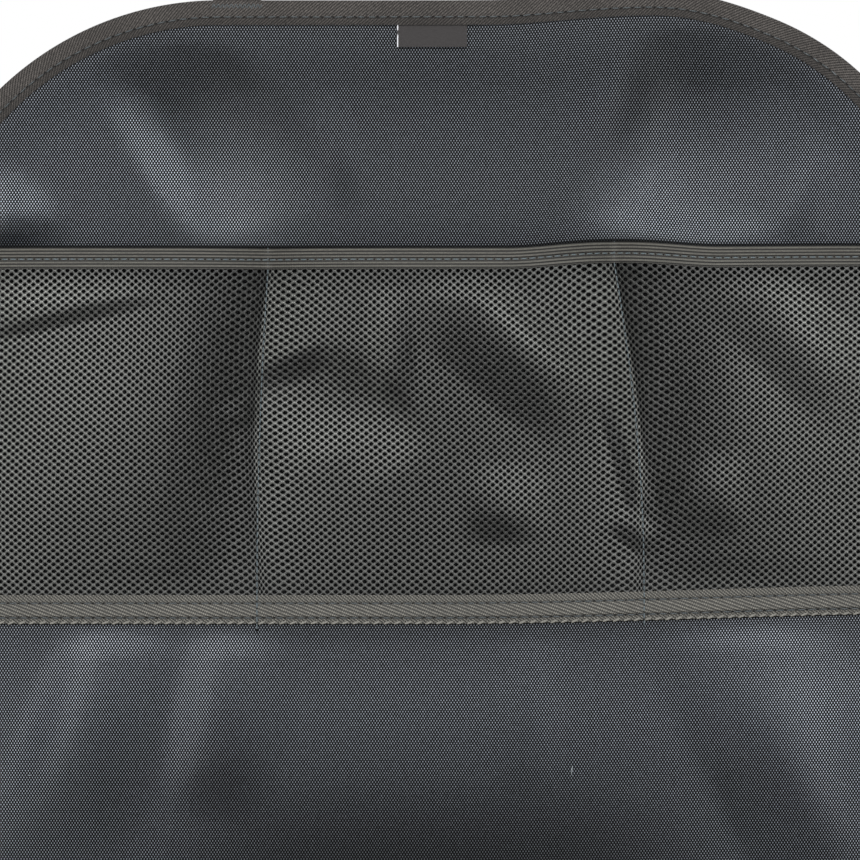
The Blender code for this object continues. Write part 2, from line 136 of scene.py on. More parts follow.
# Creases of the slack net, given like the folds.
NET_FOLDS = (
    (-0.158, 0.131, 12.0, 0.050, 0.018, 0.008, 0.0036),
    (-0.0822, 0.174, 0.0, 0.012, 0.006, 0.008, 0.0018),
    (-0.054, 0.163, 25.0, 0.026, 0.015, 0.036, -0.0052),
    (-0.025, 0.172, -53.0, 0.030, 0.015, 0.032, -0.0048),
    (-0.0165, 0.146, -85.0, 0.030, 0.011, 0.012, 0.0028),
    (0.038, 0.146, -39.5, 0.058, 0.018, 0.030, 0.0070),
    (0.028, 0.216, 0.0, 0.022, 0.022, 0.016, 0.0030),
    (0.080, 0.195, -75.0, 0.045, 0.010, 0.007, 0.0024),
    (0.0847, 0.226, -40.0, 0.013, 0.009, 0.008, 0.0024),
    (0.113, 0.213, 0.0, 0.022, 0.022, 0.018, 0.0036),
    (0.157, 0.146, -47.0, 0.050, 0.018, 0.026, 0.0050),
    (-0.112, 0.185, 84.0, 0.075, 0.076, 0.030, 0.0062),
    (0.126, 0.190, 80.0, 0.070, 0.034, 0.066, 0.0058),
)

# Painted highlight toward the hanging cloth's sides: how much brighter the threads are drawn
# there, and from where and over what reach it grows.
PAINTED_SIDE_SHEEN = 0.50
PAINTED_SIDE_SHEEN_START = 0.05
PAINTED_SIDE_SHEEN_REACH = 0.12

# Painted shade and highlight from the folds: how strongly threads are drawn brighter on a slope
# that faces up and outward, and darker on one that faces down and inward, and the least and most
# of it.
PANEL_SHADE_ANSWER = (5.0, 0.5)
PANEL_SHADE_RANGE = (-0.45, 1.2)
NET_SHADE_ANSWER = (2.8, 3.2)
NET_SHADE_RANGE = (-0.62, 1.5)

# The step over which a slope is taken, and where about the middle outward changes sides.
SLOPE_STEP = 0.0005
MIDDLE_WIDTH = 0.02

# Pull of the sewing: the right half sits a little higher than the left, but less so at the
# hem. Each further pull has its place across, depth, reach and lift.
RIGHT_RISE = 0.0045
HEM_DIP = 0.75
HEM_DIP_REACH = 0.090
PULLS = (
    (0.0850, 0.004, 0.060, 0.0026),
    (0.0763, 0.107, 0.045, 0.0026),
)

# How the binding climbs onto what it covers: the slope's length, and its start before it.
SEAT_RAMP = 0.0050
SEAT_MARGIN = 0.0025

# Rows of sewing, by their distance from the edge of the layer that they hold.
BINDING_ROW = 0.0072
HEM_ROW = 0.0047
BASE_ROWS = (0.0035, 0.0097)
SELVEDGE_ROW = 0.0117
TACK_DEPTH = 0.0026

# The groove that a row of sewing presses into a tape: its depth and half width.
BINDING_GROOVE = (0.00022, 0.0011)
HEM_GROOVE = (0.0002, 0.0009)
BASE_GROOVE = (0.00025, 0.0010)

# How far threads stand off a tape or sink into the binding, and the length of a needle hole's
# painted shade, a near-black dot, as a share of the row's pitch.
THREAD_LIFT = 0.0001
STITCH_SINK = 0.00008
HOLE_SHARE = 0.24

# The net's lattice: columns on each side of the middle, its pinch at the divider seams, how
# far each point strays, and how deep a strand is behind its middle as a share of its rise.
NET_COLUMNS = 70
PINCH = 0.0048
PINCH_WIDTH = 0.009
YARN_STRAY = 0.00004
STRAND_REAR = 0.6

# Bits of fluff: place across, depth, length and lean from level in degrees.
LINT_SPOTS = (
    (0.0585, 0.3270, 0.0042, 84.0),
    (-0.1712, 0.3284, 0.0012, 20.0),
    (0.1733, 0.3356, 0.0014, -35.0),
)
FLUFF_RADIUS = 0.00011

# Refractive index of the polyester yarns and their coating.
THREAD_INDEX = 1.64

# Soft lamps: name, place, size, power and colour. All face the same point of the part.
LAMP_AIM = (0.0, 0.0, -0.25)
LAMPS = (
    ("softbox_left", (-0.70, -2.0, 0.64), (1.1, 0.5), 24.0, (1.0, 0.99, 0.98)),
    ("softbox_right", (0.68, -2.0, 0.64), (1.1, 0.5), 24.0, (0.97, 0.985, 1.0)),
    ("strip_left", (-0.40, -1.0, -0.33), (0.20, 0.6), 2.6, (1.0, 1.0, 1.0)),
    ("strip_right", (0.40, -1.0, -0.33), (0.20, 0.6), 2.6, (1.0, 1.0, 1.0)),
    ("softbox_above", (0.0, -1.6, 1.1), (1.4, 0.5), 6.0, (1.0, 1.0, 1.0)),
    ("softbox_back", (0.0, 2.2, 0.9), (1.6, 1.2), 26.0, (1.0, 1.0, 1.0)),
)

# The dim light from all round, and the floor.
AMBIENT_COLOUR = (0.97, 0.985, 1.0, 1.0)
AMBIENT_STRENGTH = 0.13
FLOOR_RADIUS = 4.0
FLOOR_GAP = 0.030

# The camera, which looks straight at the part.
CAMERA_PLACE = (-0.0017, -3.0, -0.2322)
FOCAL_LENGTH = 296.0
SENSOR_WIDTH = 36.0

# Fineness of the meshes.
PANEL_COLUMNS = 128
PANEL_ROW = 0.0035
OUTLINE_STEP = 0.0024
TAPE_STEP = 0.0012
SHARP_ANGLE = math.radians(50.0)

# Values that follow from the sizes above.
HALF_WIDTH = PANEL_WIDTH / 2
TOP_FLAT = HALF_WIDTH - SHOULDER_RADIUS
FOOT_TOP = PANEL_HEIGHT - FOOT_RADIUS
FOOT_FLAT = HALF_WIDTH - FOOT_RADIUS
HEM_FOOT = HEM_DEPTH + HEM_WIDTH
BASE_FOOT = BASE_DEPTH + BASE_WIDTH
MESH_TOP = HEM_DEPTH + HEM_TAPE_THICKNESS + CLEARANCE
MESH_FOOT = BASE_DEPTH + MESH_TUCK
EDGE_OFFSET = BINDING_THICKNESS + CLEARANCE
MESH_SEAT = PANEL_THICKNESS + CLEARANCE
HEM_LIFT = HEM_TAPE_THICKNESS + CLEARANCE
HEM_STACK = MESH_SEAT + HEM_LIFT + MESH_THICKNESS + CLEARANCE + HEM_TAPE_THICKNESS
MESH_STACK = MESH_SEAT + MESH_THICKNESS
BASE_STACK = MESH_STACK + CLEARANCE + BASE_TAPE_THICKNESS
TAG_SEAT = PANEL_THICKNESS + CLEARANCE
TAG_STACK = TAG_SEAT + 2 * TAG_THICKNESS + CLEARANCE
LAYER_HALF = (STRAP_THICKNESS + CLEARANCE) / 2
STRAP_BACK = CLEARANCE + BINDING_THICKNESS + CLEARANCE + STRAP_THICKNESS + CLEARANCE / 2


# What every length and every colour that a user may change has in common.
LENGTH = {"subtype": "DISTANCE", "unit": "LENGTH", "precision": 5}
COLOUR = {"subtype": "COLOR", "size": 3, "min": 0.0, "max": 1.0}


class OrganizerSizes(bpy.types.PropertyGroup):
    """Sizes of the cloth, the net and the sewing."""

    weave_pitch: FloatProperty(
        name="Weave pitch", description="Distance between bright threads in a row",
        default=0.00121, **LENGTH)
    weave_row: FloatProperty(
        name="Weave row", description="Distance between rows of the weave",
        default=0.00096, **LENGTH)
    net_pitch: FloatProperty(
        name="Net pitch", description="Distance between gaps in a row of the net",
        default=0.00353, **LENGTH)
    net_row: FloatProperty(
        name="Net row", description="Distance between rows of gaps",
        default=0.00146, **LENGTH)
    gap_width: FloatProperty(
        name="Gap width", description="Width of one gap of the net",
        default=0.00182, **LENGTH)
    gap_height: FloatProperty(
        name="Gap height", description="Height of one gap of the net",
        default=0.00166, **LENGTH)
    strand_rise: FloatProperty(
        name="Strand rise", description="How far a strand's crown stands off the net's middle",
        default=0.00024, **LENGTH)
    rib_count: IntProperty(
        name="Ribs", description="Lengthwise ribs on the pocket hem tape", default=6, min=1)
    rib_rise: FloatProperty(
        name="Rib rise", description="Height of a rib of the hem tape",
        default=0.00022, **LENGTH)
    thread_width: FloatProperty(
        name="Thread width", description="Width of a sewing stitch",
        default=0.00062, **LENGTH)


class OrganizerColours(bpy.types.PropertyGroup):
    """Colours of the finishes, as linear values."""

    woven: FloatVectorProperty(
        name="Woven cloth", description="Threads of the panel",
        default=(0.024, 0.027, 0.034), **COLOUR)
    binding: FloatVectorProperty(
        name="Binding", description="Twill tape round the edge",
        default=(0.074, 0.067, 0.062), **COLOUR)
    ribbed: FloatVectorProperty(
        name="Hem tape", description="Ribbed tape on the pockets' top edge",
        default=(0.052, 0.050, 0.043), **COLOUR)
    twill: FloatVectorProperty(
        name="Base tape", description="Twill tape under the pockets",
        default=(0.115, 0.110, 0.095), **COLOUR)
    net: FloatVectorProperty(
        name="Net", description="Yarn of the pocket net",
        default=(0.100, 0.102, 0.095), **COLOUR)
    thread: FloatVectorProperty(
        name="Thread", description="Sewing thread",
        default=(0.050, 0.068, 0.076), **COLOUR)
    webbing: FloatVectorProperty(
        name="Webbing", description="Hanging straps",
        default=(0.094, 0.086, 0.079), **COLOUR)
    tag: FloatVectorProperty(
        name="Tag", description="Satin of the sewn-in tag",
        default=(0.017, 0.015, 0.015), **COLOUR)
    floor: FloatVectorProperty(
        name="Floor", description="Plain floor under the part",
        default=(0.80, 0.80, 0.79), **COLOUR)


class Wire:
    """A node's output that takes part in Python sums, which add Math nodes."""

    def __init__(self, graph, socket):
        self.graph = graph
        self.socket = socket

    def math(self, operation, first=None, second=None):
        """A Math node of this value, or of two others."""
        values = [self if first is None else first]
        if second is not None:
            values.append(second)
        return self.graph.add("ShaderNodeMath", {"operation": operation}, dict(enumerate(values)))

    def __add__(self, other):
        return self.math("ADD", self, other)

    def __sub__(self, other):
        return self.math("SUBTRACT", self, other)

    def __mul__(self, other):
        return self.math("MULTIPLY", self, other)

    def __truediv__(self, other):
        return self.math("DIVIDE", self, other)

    def __rsub__(self, other):
        return self.math("SUBTRACT", other, self)

    def __rtruediv__(self, other):
        return self.math("DIVIDE", other, self)

    __radd__ = __add__
    __rmul__ = __mul__

    def cosine(self):
        """The cosine of a value in turns."""
        return (self * (2 * math.pi)).math("COSINE")

    def smooth(self, low, high):
        """A smooth climb from nothing at low to one at high."""
        settings = {"interpolation_type": "SMOOTHSTEP"}
        inputs = {"Value": self, "From Min": low, "From Max": high}
        return self.graph.add("ShaderNodeMapRange", settings, inputs)


class Graph:
    """A node tree that is written as calls."""

    def __init__(self, tree):
        self.tree = tree

    def add(self, kind, settings=None, inputs=None, output=0):
        """A node of a kind, its settings first and then its inputs; gives one output."""
        node = self.tree.nodes.new(kind)
        for name, value in (settings or {}).items():
            setattr(node, name, value)
        for key, value in (inputs or {}).items():
            if isinstance(value, Wire):
                self.tree.links.new(value.socket, node.inputs[key])
            else:
                node.inputs[key].default_value = value
        return Wire(self, node.outputs[output])

    def split(self, vector):
        """The X, Y and Z of a vector."""
        first = self.add("ShaderNodeSeparateXYZ", None, {0: vector})
        return [Wire(self, socket) for socket in first.socket.node.outputs]

    def blend(self, share, first, second):
        """A colour between two colours."""
        settings = {"data_type": "RGBA", "clamp_factor": True}
        return self.add("ShaderNodeMix", settings, {0: share, 6: first, 7: second}, output=2)

    def tint(self, share, colour, low, high):
        """A colour at a brightness between two shares of its own."""
        return self.blend(share, opaque(colour, low), opaque(colour, high))

    def noise(self, vector, scale, detail=2.0):
        """Smooth noise between zero and one."""
        inputs = {"Vector": vector, "Scale": scale, "Detail": detail}
        return self.add("ShaderNodeTexNoise", None, inputs)

    def places(self):
        """Each point's place on the part, in metres."""
        return self.add("ShaderNodeTexCoord", None, None, output="Object")

    def lean(self):
        """The painted shade and highlight that is stored on the mesh under the name lean."""
        return self.add("ShaderNodeAttribute", {"attribute_name": "lean"}, None, output="Fac")

    def link(self, wire, socket):
        """Leads a value to a socket of a node that is already there."""
        self.tree.links.new(wire.socket, socket)


def opaque(colour, level):
    """A colour with full alpha, at a share of its brightness."""
    return (*(channel * level for channel in colour), 1.0)


def sizes():
    """The scene's sizes."""
    return bpy.context.scene.organizer_sizes


def colours():
    """The scene's colours."""
    return bpy.context.scene.organizer_colours


# The flat layout and how it drapes.


def smooth_step(value):
    """A smooth climb from nothing at zero to one at one."""
    value = np.clip(value, 0.0, 1.0)
    return value * value * (3.0 - 2.0 * value)


def hump(value):
    """A smooth rise and fall: one at zero, nothing from one on."""
    return np.where(np.abs(value) < 1.0, (1.0 - value * value) ** 2, 0.0)


def groove(place, row, size):
    """How deep a row of sewing presses into a tape; size is the groove's depth and half width."""
    depth, half_width = size
    return depth * hump((place - row) / half_width)


def plateau(value, start, end):
    """One from start to end, with a straight ramp down on both sides."""
    outside = np.maximum(start - SEAT_MARGIN - value, value - end - SEAT_MARGIN)
    return np.clip(1.0 - np.maximum(outside, 0.0) / SEAT_RAMP, 0.0, 1.0)


def edge_at(depth):
    """The outline's half width at a depth, and its outward normal on the right side."""
    up = np.clip(1.0 - depth / SHOULDER_RADIUS, 0.0, 1.0)
    down = np.clip((depth - FOOT_TOP) / FOOT_RADIUS, 0.0, 1.0)
    upper = np.sqrt(1.0 - up * up)
    lower = np.sqrt(1.0 - down * down)
    half = HALF_WIDTH - SHOULDER_RADIUS * (1.0 - upper) - FOOT_RADIUS * (1.0 - lower)
    return half, upper * lower, up - down


def folded(across, depth, folds):
    """The height of a list of soft folds at each point."""
    total = 0.0
    for fold_across, fold_depth, lean, half_length, above, below, height in folds:
        turn = math.radians(lean)
        x = across - fold_across
        z = fold_depth - depth
        along = x * math.cos(turn) + z * math.sin(turn)
        beside = z * math.cos(turn) - x * math.sin(turn)
        half_width = np.where(beside > 0.0, above, below)
        total = total + height * hump(along / half_length) * hump(beside / half_width)
    return total


def relief(across, depth, folds=FOLDS):
    """How far the woven panel's folds stand forward or sink back; nothing at the seams."""
    side = edge_at(depth)[0] - np.abs(across) - BINDING_WIDTH
    fade = smooth_step(side / EDGE_FADE)
    fade = fade * smooth_step((depth - BINDING_WIDTH) / EDGE_FADE)
    fade = fade * smooth_step((PANEL_HEIGHT - depth - BINDING_WIDTH) / EDGE_FADE)
    fade = fade * smooth_step(np.maximum(HEM_DEPTH - depth, depth - BASE_FOOT) / BAND_FADE)
    return folded(across, depth, folds) * fade


def clear_relief(across, depth):
    """The folds that show, without the last, which is too shallow to."""
    return relief(across, depth, FOLDS[:-1])


def rise(across, depth):
    """How far the sewing pulls a point up from its flat place."""
    dip = 1.0 - HEM_DIP * hump((depth - HEM_DEPTH) / HEM_DIP_REACH)
    total = RIGHT_RISE * smooth_step(across / HALF_WIDTH) * dip
    for pull_across, pull_depth, reach, lift in PULLS:
        total = total + lift * hump(np.hypot(across - pull_across, depth - pull_depth) / reach)
    return total


def drape(across, depth, height):
    """The places of points of the flat layout on the hanging part."""
    across, depth, height = np.broadcast_arrays(across, depth, height)
    y = -height - relief(across, depth) - STRAP_BACK
    return np.stack([across, y, rise(across, depth) - depth - LOOP_HEIGHT], axis=-1)


def divider(seam, depth):
    """A divider seam's place across at a depth."""
    top, foot = seam
    share = np.clip((BASE_DEPTH - depth) / (BASE_DEPTH - HEM_FOOT), 0.0, 1.0)
    return foot + (top - foot) * share * share


def pocket_bounds(depth):
    """The four seams that bound the three pockets at a depth, left to right."""
    edge = edge_at(HEM_DEPTH)[0] - BINDING_WIDTH - 2 * LAYER_INSET
    left, right = (divider(seam, depth) for seam in DIVIDERS)
    return (-edge + 0.0 * depth, left, right, edge + 0.0 * depth)


def bulge(across, depth):
    """How far the slack pocket front stands off its seat."""
    bounds = pocket_bounds(depth)
    share = (BASE_DEPTH - depth) / (BASE_DEPTH - HEM_FOOT)
    fullness = np.sin(np.clip(share, 0.0, 1.0) * math.pi / 2)
    total = np.zeros(np.broadcast(across, depth).shape)
    for start, end in zip(bounds, bounds[1:]):
        offset = np.minimum(np.abs(2.0 * (across - start) / (end - start) - 1.0), 1.0)
        total = total + POCKET_SLACK * fullness * (1.0 - offset ** 3)
    return total


def mesh_height(across, depth):
    """The height of the net's rear, which steps up to clear the hem tape's rear leaf."""
    step = HEM_LIFT * smooth_step(1.0 - (depth - HEM_FOOT) / (3 * HEM_WIDTH))
    return MESH_SEAT + step + bulge(across, depth)


def facing(height_at, across, depth):
    """How far a surface faces up, and how far outward, at each point."""
    step = SLOPE_STEP
    up = height_at(across, depth + step) - height_at(across, depth - step)
    outward = height_at(across - step, depth) - height_at(across + step, depth)
    return up / (2 * step), outward / (2 * step) * np.tanh(across / MIDDLE_WIDTH)


def set_painted_shade(mesh, across, values):
    """Stores painted shade and highlight on the mesh as lean: brightening by slope, and a little
    more brightening toward the cloth's sides.
    """
    aside = smooth_step((np.abs(across) - PAINTED_SIDE_SHEEN_START) / PAINTED_SIDE_SHEEN_REACH)
    turned = values + PAINTED_SIDE_SHEEN * aside
    lean = mesh.attributes.new("lean", "FLOAT", "POINT")
    lean.data.foreach_set("value", turned.astype(np.float32).ravel())


def panel_painted_shade(across, depth):
    """Painted shade and highlight of the panel: brighter where its folds face up and outward,
    darker where they face down and inward.
    """
    up, outward = facing(clear_relief, across, depth)
    return np.clip(PANEL_SHADE_ANSWER[0] * up + PANEL_SHADE_ANSWER[1] * outward, *PANEL_SHADE_RANGE)


def net_creases(across, depth):
    """The net's own creases, which die out at the tapes."""
    room = np.minimum(depth - HEM_FOOT, BASE_DEPTH - depth)
    return folded(across, depth, NET_FOLDS) * smooth_step(room / BAND_FADE)


def binding_seat(across, depth, on_top):
    """The height of what lies under the binding's front flange."""
    seat = PANEL_THICKNESS + 0.0 * depth
    stacks = (
        (HEM_DEPTH, HEM_FOOT, HEM_STACK),
        (HEM_FOOT, BASE_DEPTH, MESH_STACK + HEM_LIFT),
        (BASE_DEPTH, BASE_FOOT, BASE_STACK),
    )
    for start, end, top in stacks:
        layer = PANEL_THICKNESS + (top - PANEL_THICKNESS) * plateau(depth, start, end)
        seat = np.maximum(seat, layer)
    over_tag = plateau(across, TAG_LEFT, TAG_RIGHT) * on_top
    return np.maximum(seat, PANEL_THICKNESS + (TAG_STACK - PANEL_THICKNESS) * over_tag)


def outline(step):
    """Stations round the outline: across, depth, outward normal and way along, from the foot."""
    def arc(radius, centre, start):
        count = max(8, round(radius * math.pi / 2 / step))
        angle = math.radians(start) + math.pi / 2 * np.arange(count) / count
        out, up = np.cos(angle), np.sin(angle)
        return np.stack([centre[0] + radius * out, centre[1] - radius * up, out, up], axis=-1)

    def straight(start, end, normal):
        count = max(2, round(math.dist(start, end) / step))
        share = np.arange(count)[:, None] / count
        place = np.array(start) * (1 - share) + np.array(end) * share
        return np.hstack([place, np.tile(normal, (count, 1))])

    foot, side = PANEL_HEIGHT, HALF_WIDTH
    parts = [
        straight((0.0, foot), (FOOT_FLAT, foot), (0.0, -1.0)),
        arc(FOOT_RADIUS, (FOOT_FLAT, FOOT_TOP), -90.0),
        straight((side, FOOT_TOP), (side, SHOULDER_RADIUS), (1.0, 0.0)),
        arc(SHOULDER_RADIUS, (TOP_FLAT, SHOULDER_RADIUS), 0.0),
        straight((TOP_FLAT, 0.0), (-TOP_FLAT, 0.0), (0.0, 1.0)),
        arc(SHOULDER_RADIUS, (-TOP_FLAT, SHOULDER_RADIUS), 90.0),
        straight((-side, SHOULDER_RADIUS), (-side, FOOT_TOP), (-1.0, 0.0)),
        arc(FOOT_RADIUS, (-FOOT_FLAT, FOOT_TOP), 180.0),
        straight((-FOOT_FLAT, foot), (0.0, foot), (0.0, -1.0)),
    ]
    stations = np.vstack(parts)
    steps = np.hypot(*np.diff(stations[:, :2], axis=0, append=stations[:1, :2]).T)
    return stations, running_length(steps)


def running_length(steps):
    """The way from the first point to each, by the steps between them."""
    return np.concatenate([[0.0], np.cumsum(steps)])


def cloth_grid(along, down):
    """The cloth's own coordinates at every station and every point round its section."""
    return np.stack(np.broadcast_arrays(along[:, None], down[None, :]), axis=-1)


# Meshes and pieces.


def add_object(name, data):
    """An object in the scene's collection."""
    item = bpy.data.objects.new(name, data)
    bpy.context.collection.objects.link(item)
    return item


def add_piece(name, mesh, material, replaces=()):
    """A visible piece of the part: it rides on the body and may stand for solids."""
    piece = add_object(name, mesh)
    mesh.materials.clear()
    mesh.materials.append(material)
    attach(piece, BODY)
    if replaces:
        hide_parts(*replaces)
    return piece


def turn_outward(mesh):
    """Turns a closed mesh's faces outward and shades it smooth."""
    work = bmesh.new()
    work.from_mesh(mesh)
    bmesh.ops.recalc_face_normals(work, faces=work.faces)
    work.to_mesh(mesh)
    work.free()
    mesh.shade_smooth()
    mesh.set_sharp_from_angle(angle=SHARP_ANGLE)


def tube(name, rings, flat, closed=False):
    """A closed mesh through rings of points, zipped at its ends unless it is closed.

    flat holds the cloth's own coordinates, with one more column than the rings, and one
    more row where the tube is closed.
    """
    count, size = rings.shape[:2]
    rows = np.arange(count if closed else count - 1)[:, None]
    columns = np.arange(size)[None, :]
    corners = ((0, 0), (0, 1), (1, 1), (1, 0))
    faces = [((rows + j) % count) * size + (columns + i) % size for j, i in corners]
    places = [(rows + j) * (size + 1) + columns + i for j, i in corners]
    faces = np.stack(faces, axis=-1).reshape(-1, 4).tolist()
    places = np.stack(places, axis=-1).reshape(-1, 4).tolist()
    if not closed:
        for j in (0, count - 1):
            for k in range(size // 2 - 1):
                zipped = (k, k + 1, size - 2 - k, size - 1 - k)
                faces.append([j * size + i for i in zipped])
                places.append([j * (size + 1) + i for i in zipped])
    mesh = bpy.data.meshes.new(name)
    mesh.from_pydata(rings.reshape(-1, 3).tolist(), [], faces)
    layer = mesh.uv_layers.new(name="cloth")
    order = np.array(places).ravel()
    layer.data.foreach_set("uv", flat.reshape(-1, 2)[order].astype(np.float32).ravel())
    turn_outward(mesh)
    return mesh


def strip(name, across, section, place):
    """A tape swept across the part: section holds (depth, height) pairs, round the tape."""
    depth, height = section[:, 0], section[:, 1]
    rings = place(across[:, None], depth[None, :], height[None, :])
    girth = np.hypot(*np.diff(section, axis=0, append=section[:1]).T)
    return tube(name, rings, cloth_grid(across, running_length(girth)))


def path_mesh(name, paths):
    """Polylines with the way that their stitches face: paths holds (points, ways) pairs."""
    points = np.vstack([line for line, _ in paths])
    ways = np.vstack([way for _, way in paths])
    edges = []
    start = 0
    for line, _ in paths:
        edges += [(i, i + 1) for i in range(start, start + len(line) - 1)]
        start += len(line)
    mesh = bpy.data.meshes.new(name)
    mesh.from_pydata(points.tolist(), edges, [])
    attribute = mesh.attributes.new("facing", "FLOAT_VECTOR", "POINT")
    attribute.data.foreach_set("vector", ways.astype(np.float32).ravel())
    return mesh


def grow(name, mesh, tree, inputs):
    """The plain mesh that a node tree makes of a mesh."""
    source = add_object(name + "_seed", mesh)
    modifier = source.modifiers.new("growth", "NODES")
    modifier.node_group = tree
    for item in tree.interface.items_tree:
        if item.item_type == "SOCKET" and item.in_out == "INPUT" and item.name in inputs:
            modifier[item.identifier] = inputs[item.name]
    graph = bpy.context.evaluated_depsgraph_get()
    result = bpy.data.meshes.new_from_object(
        source.evaluated_get(graph), preserve_all_data_layers=True, depsgraph=graph)
    source.modifiers.clear()
    bpy.data.objects.remove(source)
    result.name = name
    return result


def new_growth(name, sockets):
    """An empty geometry tree with named inputs; gives its graph, its inputs and its exit."""
    tree = bpy.data.node_groups.new(name, "GeometryNodeTree")
    tree.interface.new_socket("Geometry", in_out="INPUT", socket_type="NodeSocketGeometry")
    tree.interface.new_socket("Geometry", in_out="OUTPUT", socket_type="NodeSocketGeometry")
    for socket, (kind, value) in sockets.items():
        item = tree.interface.new_socket(socket, in_out="INPUT", socket_type=kind)
        if value is not None:
            item.default_value = value
    graph = Graph(tree)
    entry = tree.nodes.new("NodeGroupInput")
    leave = tree.nodes.new("NodeGroupOutput")
    wires = {socket.name: Wire(graph, socket) for socket in entry.outputs if socket.name}
    return graph, wires, leave


def stitch_growth():
    """Stitches along paths: one fat thread a pitch, which may lean, zigzag and vary."""
    graph, given, leave = new_growth("stitch_rows", {
        "Pitch": ("NodeSocketFloat", 0.004),
        "Length": ("NodeSocketFloat", 0.003),
        "Width": ("NodeSocketFloat", 0.0006),
        "Height": ("NodeSocketFloat", 0.0005),
        "Shift": ("NodeSocketFloat", 0.0),
        "Lean": ("NodeSocketFloat", 0.0),
        "Zigzag": ("NodeSocketFloat", 0.0),
        "Variation": ("NodeSocketFloat", 0.08),
        "Seed": ("NodeSocketInt", 1),
        "Material": ("NodeSocketMaterial", None),
    })
    curve = graph.add("GeometryNodeMeshToCurve", None, {"Mesh": given["Geometry"]})
    rows = graph.add(
        "GeometryNodeResampleCurve", {"mode": "LENGTH"},
        {"Curve": curve, "Length": given["Pitch"]})
    ball = graph.add("GeometryNodeMeshUVSphere", None, {"Segments": 8, "Rings": 6, "Radius": 0.5})
    tangent = graph.add("GeometryNodeInputTangent")
    step = graph.add(
        "ShaderNodeVectorMath", {"operation": "SCALE"}, {0: tangent, "Scale": given["Shift"]})
    rows = graph.add("GeometryNodeSetPosition", None, {"Geometry": rows, "Offset": step})
    facing = graph.add(
        "GeometryNodeInputNamedAttribute", {"data_type": "FLOAT_VECTOR"}, {"Name": "facing"})
    along = graph.add("FunctionNodeAlignRotationToVector", {"axis": "X"}, {"Vector": tangent})
    upright = graph.add(
        "FunctionNodeAlignRotationToVector", {"axis": "Z", "pivot_axis": "X"},
        {"Rotation": along, "Vector": facing})
    index = graph.add("GeometryNodeInputIndex")
    odd = index.math("MODULO", index, 2.0)
    wander = graph.add(
        "FunctionNodeRandomValue", {"data_type": "FLOAT"},
        {2: -1.0, 3: 1.0, "ID": index, "Seed": given["Seed"]}, output=1)
    sway = given["Variation"] * wander
    lean = given["Lean"] * (1.0 - odd * given["Zigzag"] * 2.0) + sway
    turn = graph.add(
        "FunctionNodeAxisAngleToRotation", None, {"Axis": (0.0, 0.0, 1.0), "Angle": lean})
    rotation = graph.add(
        "FunctionNodeRotateRotation", {"rotation_space": "LOCAL"},
        {"Rotation": upright, "Rotate By": turn})
    length = given["Length"] * (1.0 + sway)
    scale = graph.add(
        "ShaderNodeCombineXYZ", None, {0: length, 1: given["Width"], 2: given["Height"]})
    placed = graph.add(
        "GeometryNodeInstanceOnPoints", None,
        {"Points": rows, "Instance": ball, "Rotation": rotation, "Scale": scale})
    real = graph.add("GeometryNodeRealizeInstances", None, {"Geometry": placed})
    smooth = graph.add("GeometryNodeSetShadeSmooth", None, {"Geometry": real})
    done = graph.add(
        "GeometryNodeSetMaterial", None, {"Geometry": smooth, "Material": given["Material"]})
    graph.link(done, leave.inputs[0])
    return graph.tree


def net_growth():
    """The net's gaps: one cell on each point of a lattice, joined, with its rim closed."""
    graph, given, leave = new_growth("net_cells", {
        "Cell": ("NodeSocketObject", None),
        "Weld": ("NodeSocketFloat", 0.00002),
        "Thickness": ("NodeSocketFloat", 0.0006),
        "Material": ("NodeSocketMaterial", None),
    })
    cell = graph.add("GeometryNodeObjectInfo", None, {"Object": given["Cell"]}, output="Geometry")
    placed = graph.add(
        "GeometryNodeInstanceOnPoints", None, {"Points": given["Geometry"], "Instance": cell})
    real = graph.add("GeometryNodeRealizeInstances", None, {"Geometry": placed})
    joined = graph.add(
        "GeometryNodeMergeByDistance", None, {"Geometry": real, "Distance": given["Weld"]})
    faces = graph.add("GeometryNodeInputMeshEdgeNeighbors")
    height = graph.split(graph.add("GeometryNodeInputPosition"))[2]
    front = height.math("GREATER_THAN", height, 0.0)
    rim = (2.0 - faces).math("GREATER_THAN", 2.0 - faces, 0.5) * front
    drop = graph.add("ShaderNodeCombineXYZ", None, {2: given["Thickness"] * -1.0})
    walled = graph.add(
        "GeometryNodeExtrudeMesh", {"mode": "EDGES"},
        {"Mesh": joined, "Selection": rim, "Offset": drop, "Offset Scale": 1.0})
    sealed = graph.add(
        "GeometryNodeMergeByDistance", None, {"Geometry": walled, "Distance": given["Weld"]})
    done = graph.add(
        "GeometryNodeSetMaterial", None, {"Geometry": sealed, "Material": given["Material"]})
    graph.link(done, leave.inputs[0])
    return graph.tree


# Finishes.


def new_finish(name, roughness, specular=0.5):
    """A material with its shader's constants set; gives it, its graph and its shader."""
    material = bpy.data.materials.new(name)
    material.use_nodes = True
    shader = material.node_tree.nodes["Principled BSDF"]
    shader.inputs["Roughness"].default_value = roughness
    shader.inputs["Specular IOR Level"].default_value = specular
    shader.inputs["IOR"].default_value = THREAD_INDEX
    return material, Graph(material.node_tree), shader


def cloth_places(graph):
    """The cloth's own coordinates: along it and across it, in metres."""
    mapped = graph.add("ShaderNodeUVMap", {"uv_map": "cloth"})
    return mapped, *graph.split(mapped)[:2]


def connect(graph, shader, colour, roughness, height, distance, strength):
    """Links what varies over the surface to the shader; distance and strength are its relief's."""
    graph.link(colour, shader.inputs["Base Color"])
    graph.link(roughness, shader.inputs["Roughness"])
    inputs = {"Height": height, "Distance": distance, "Strength": strength}
    graph.link(graph.add("ShaderNodeBump", None, inputs), shader.inputs["Normal"])


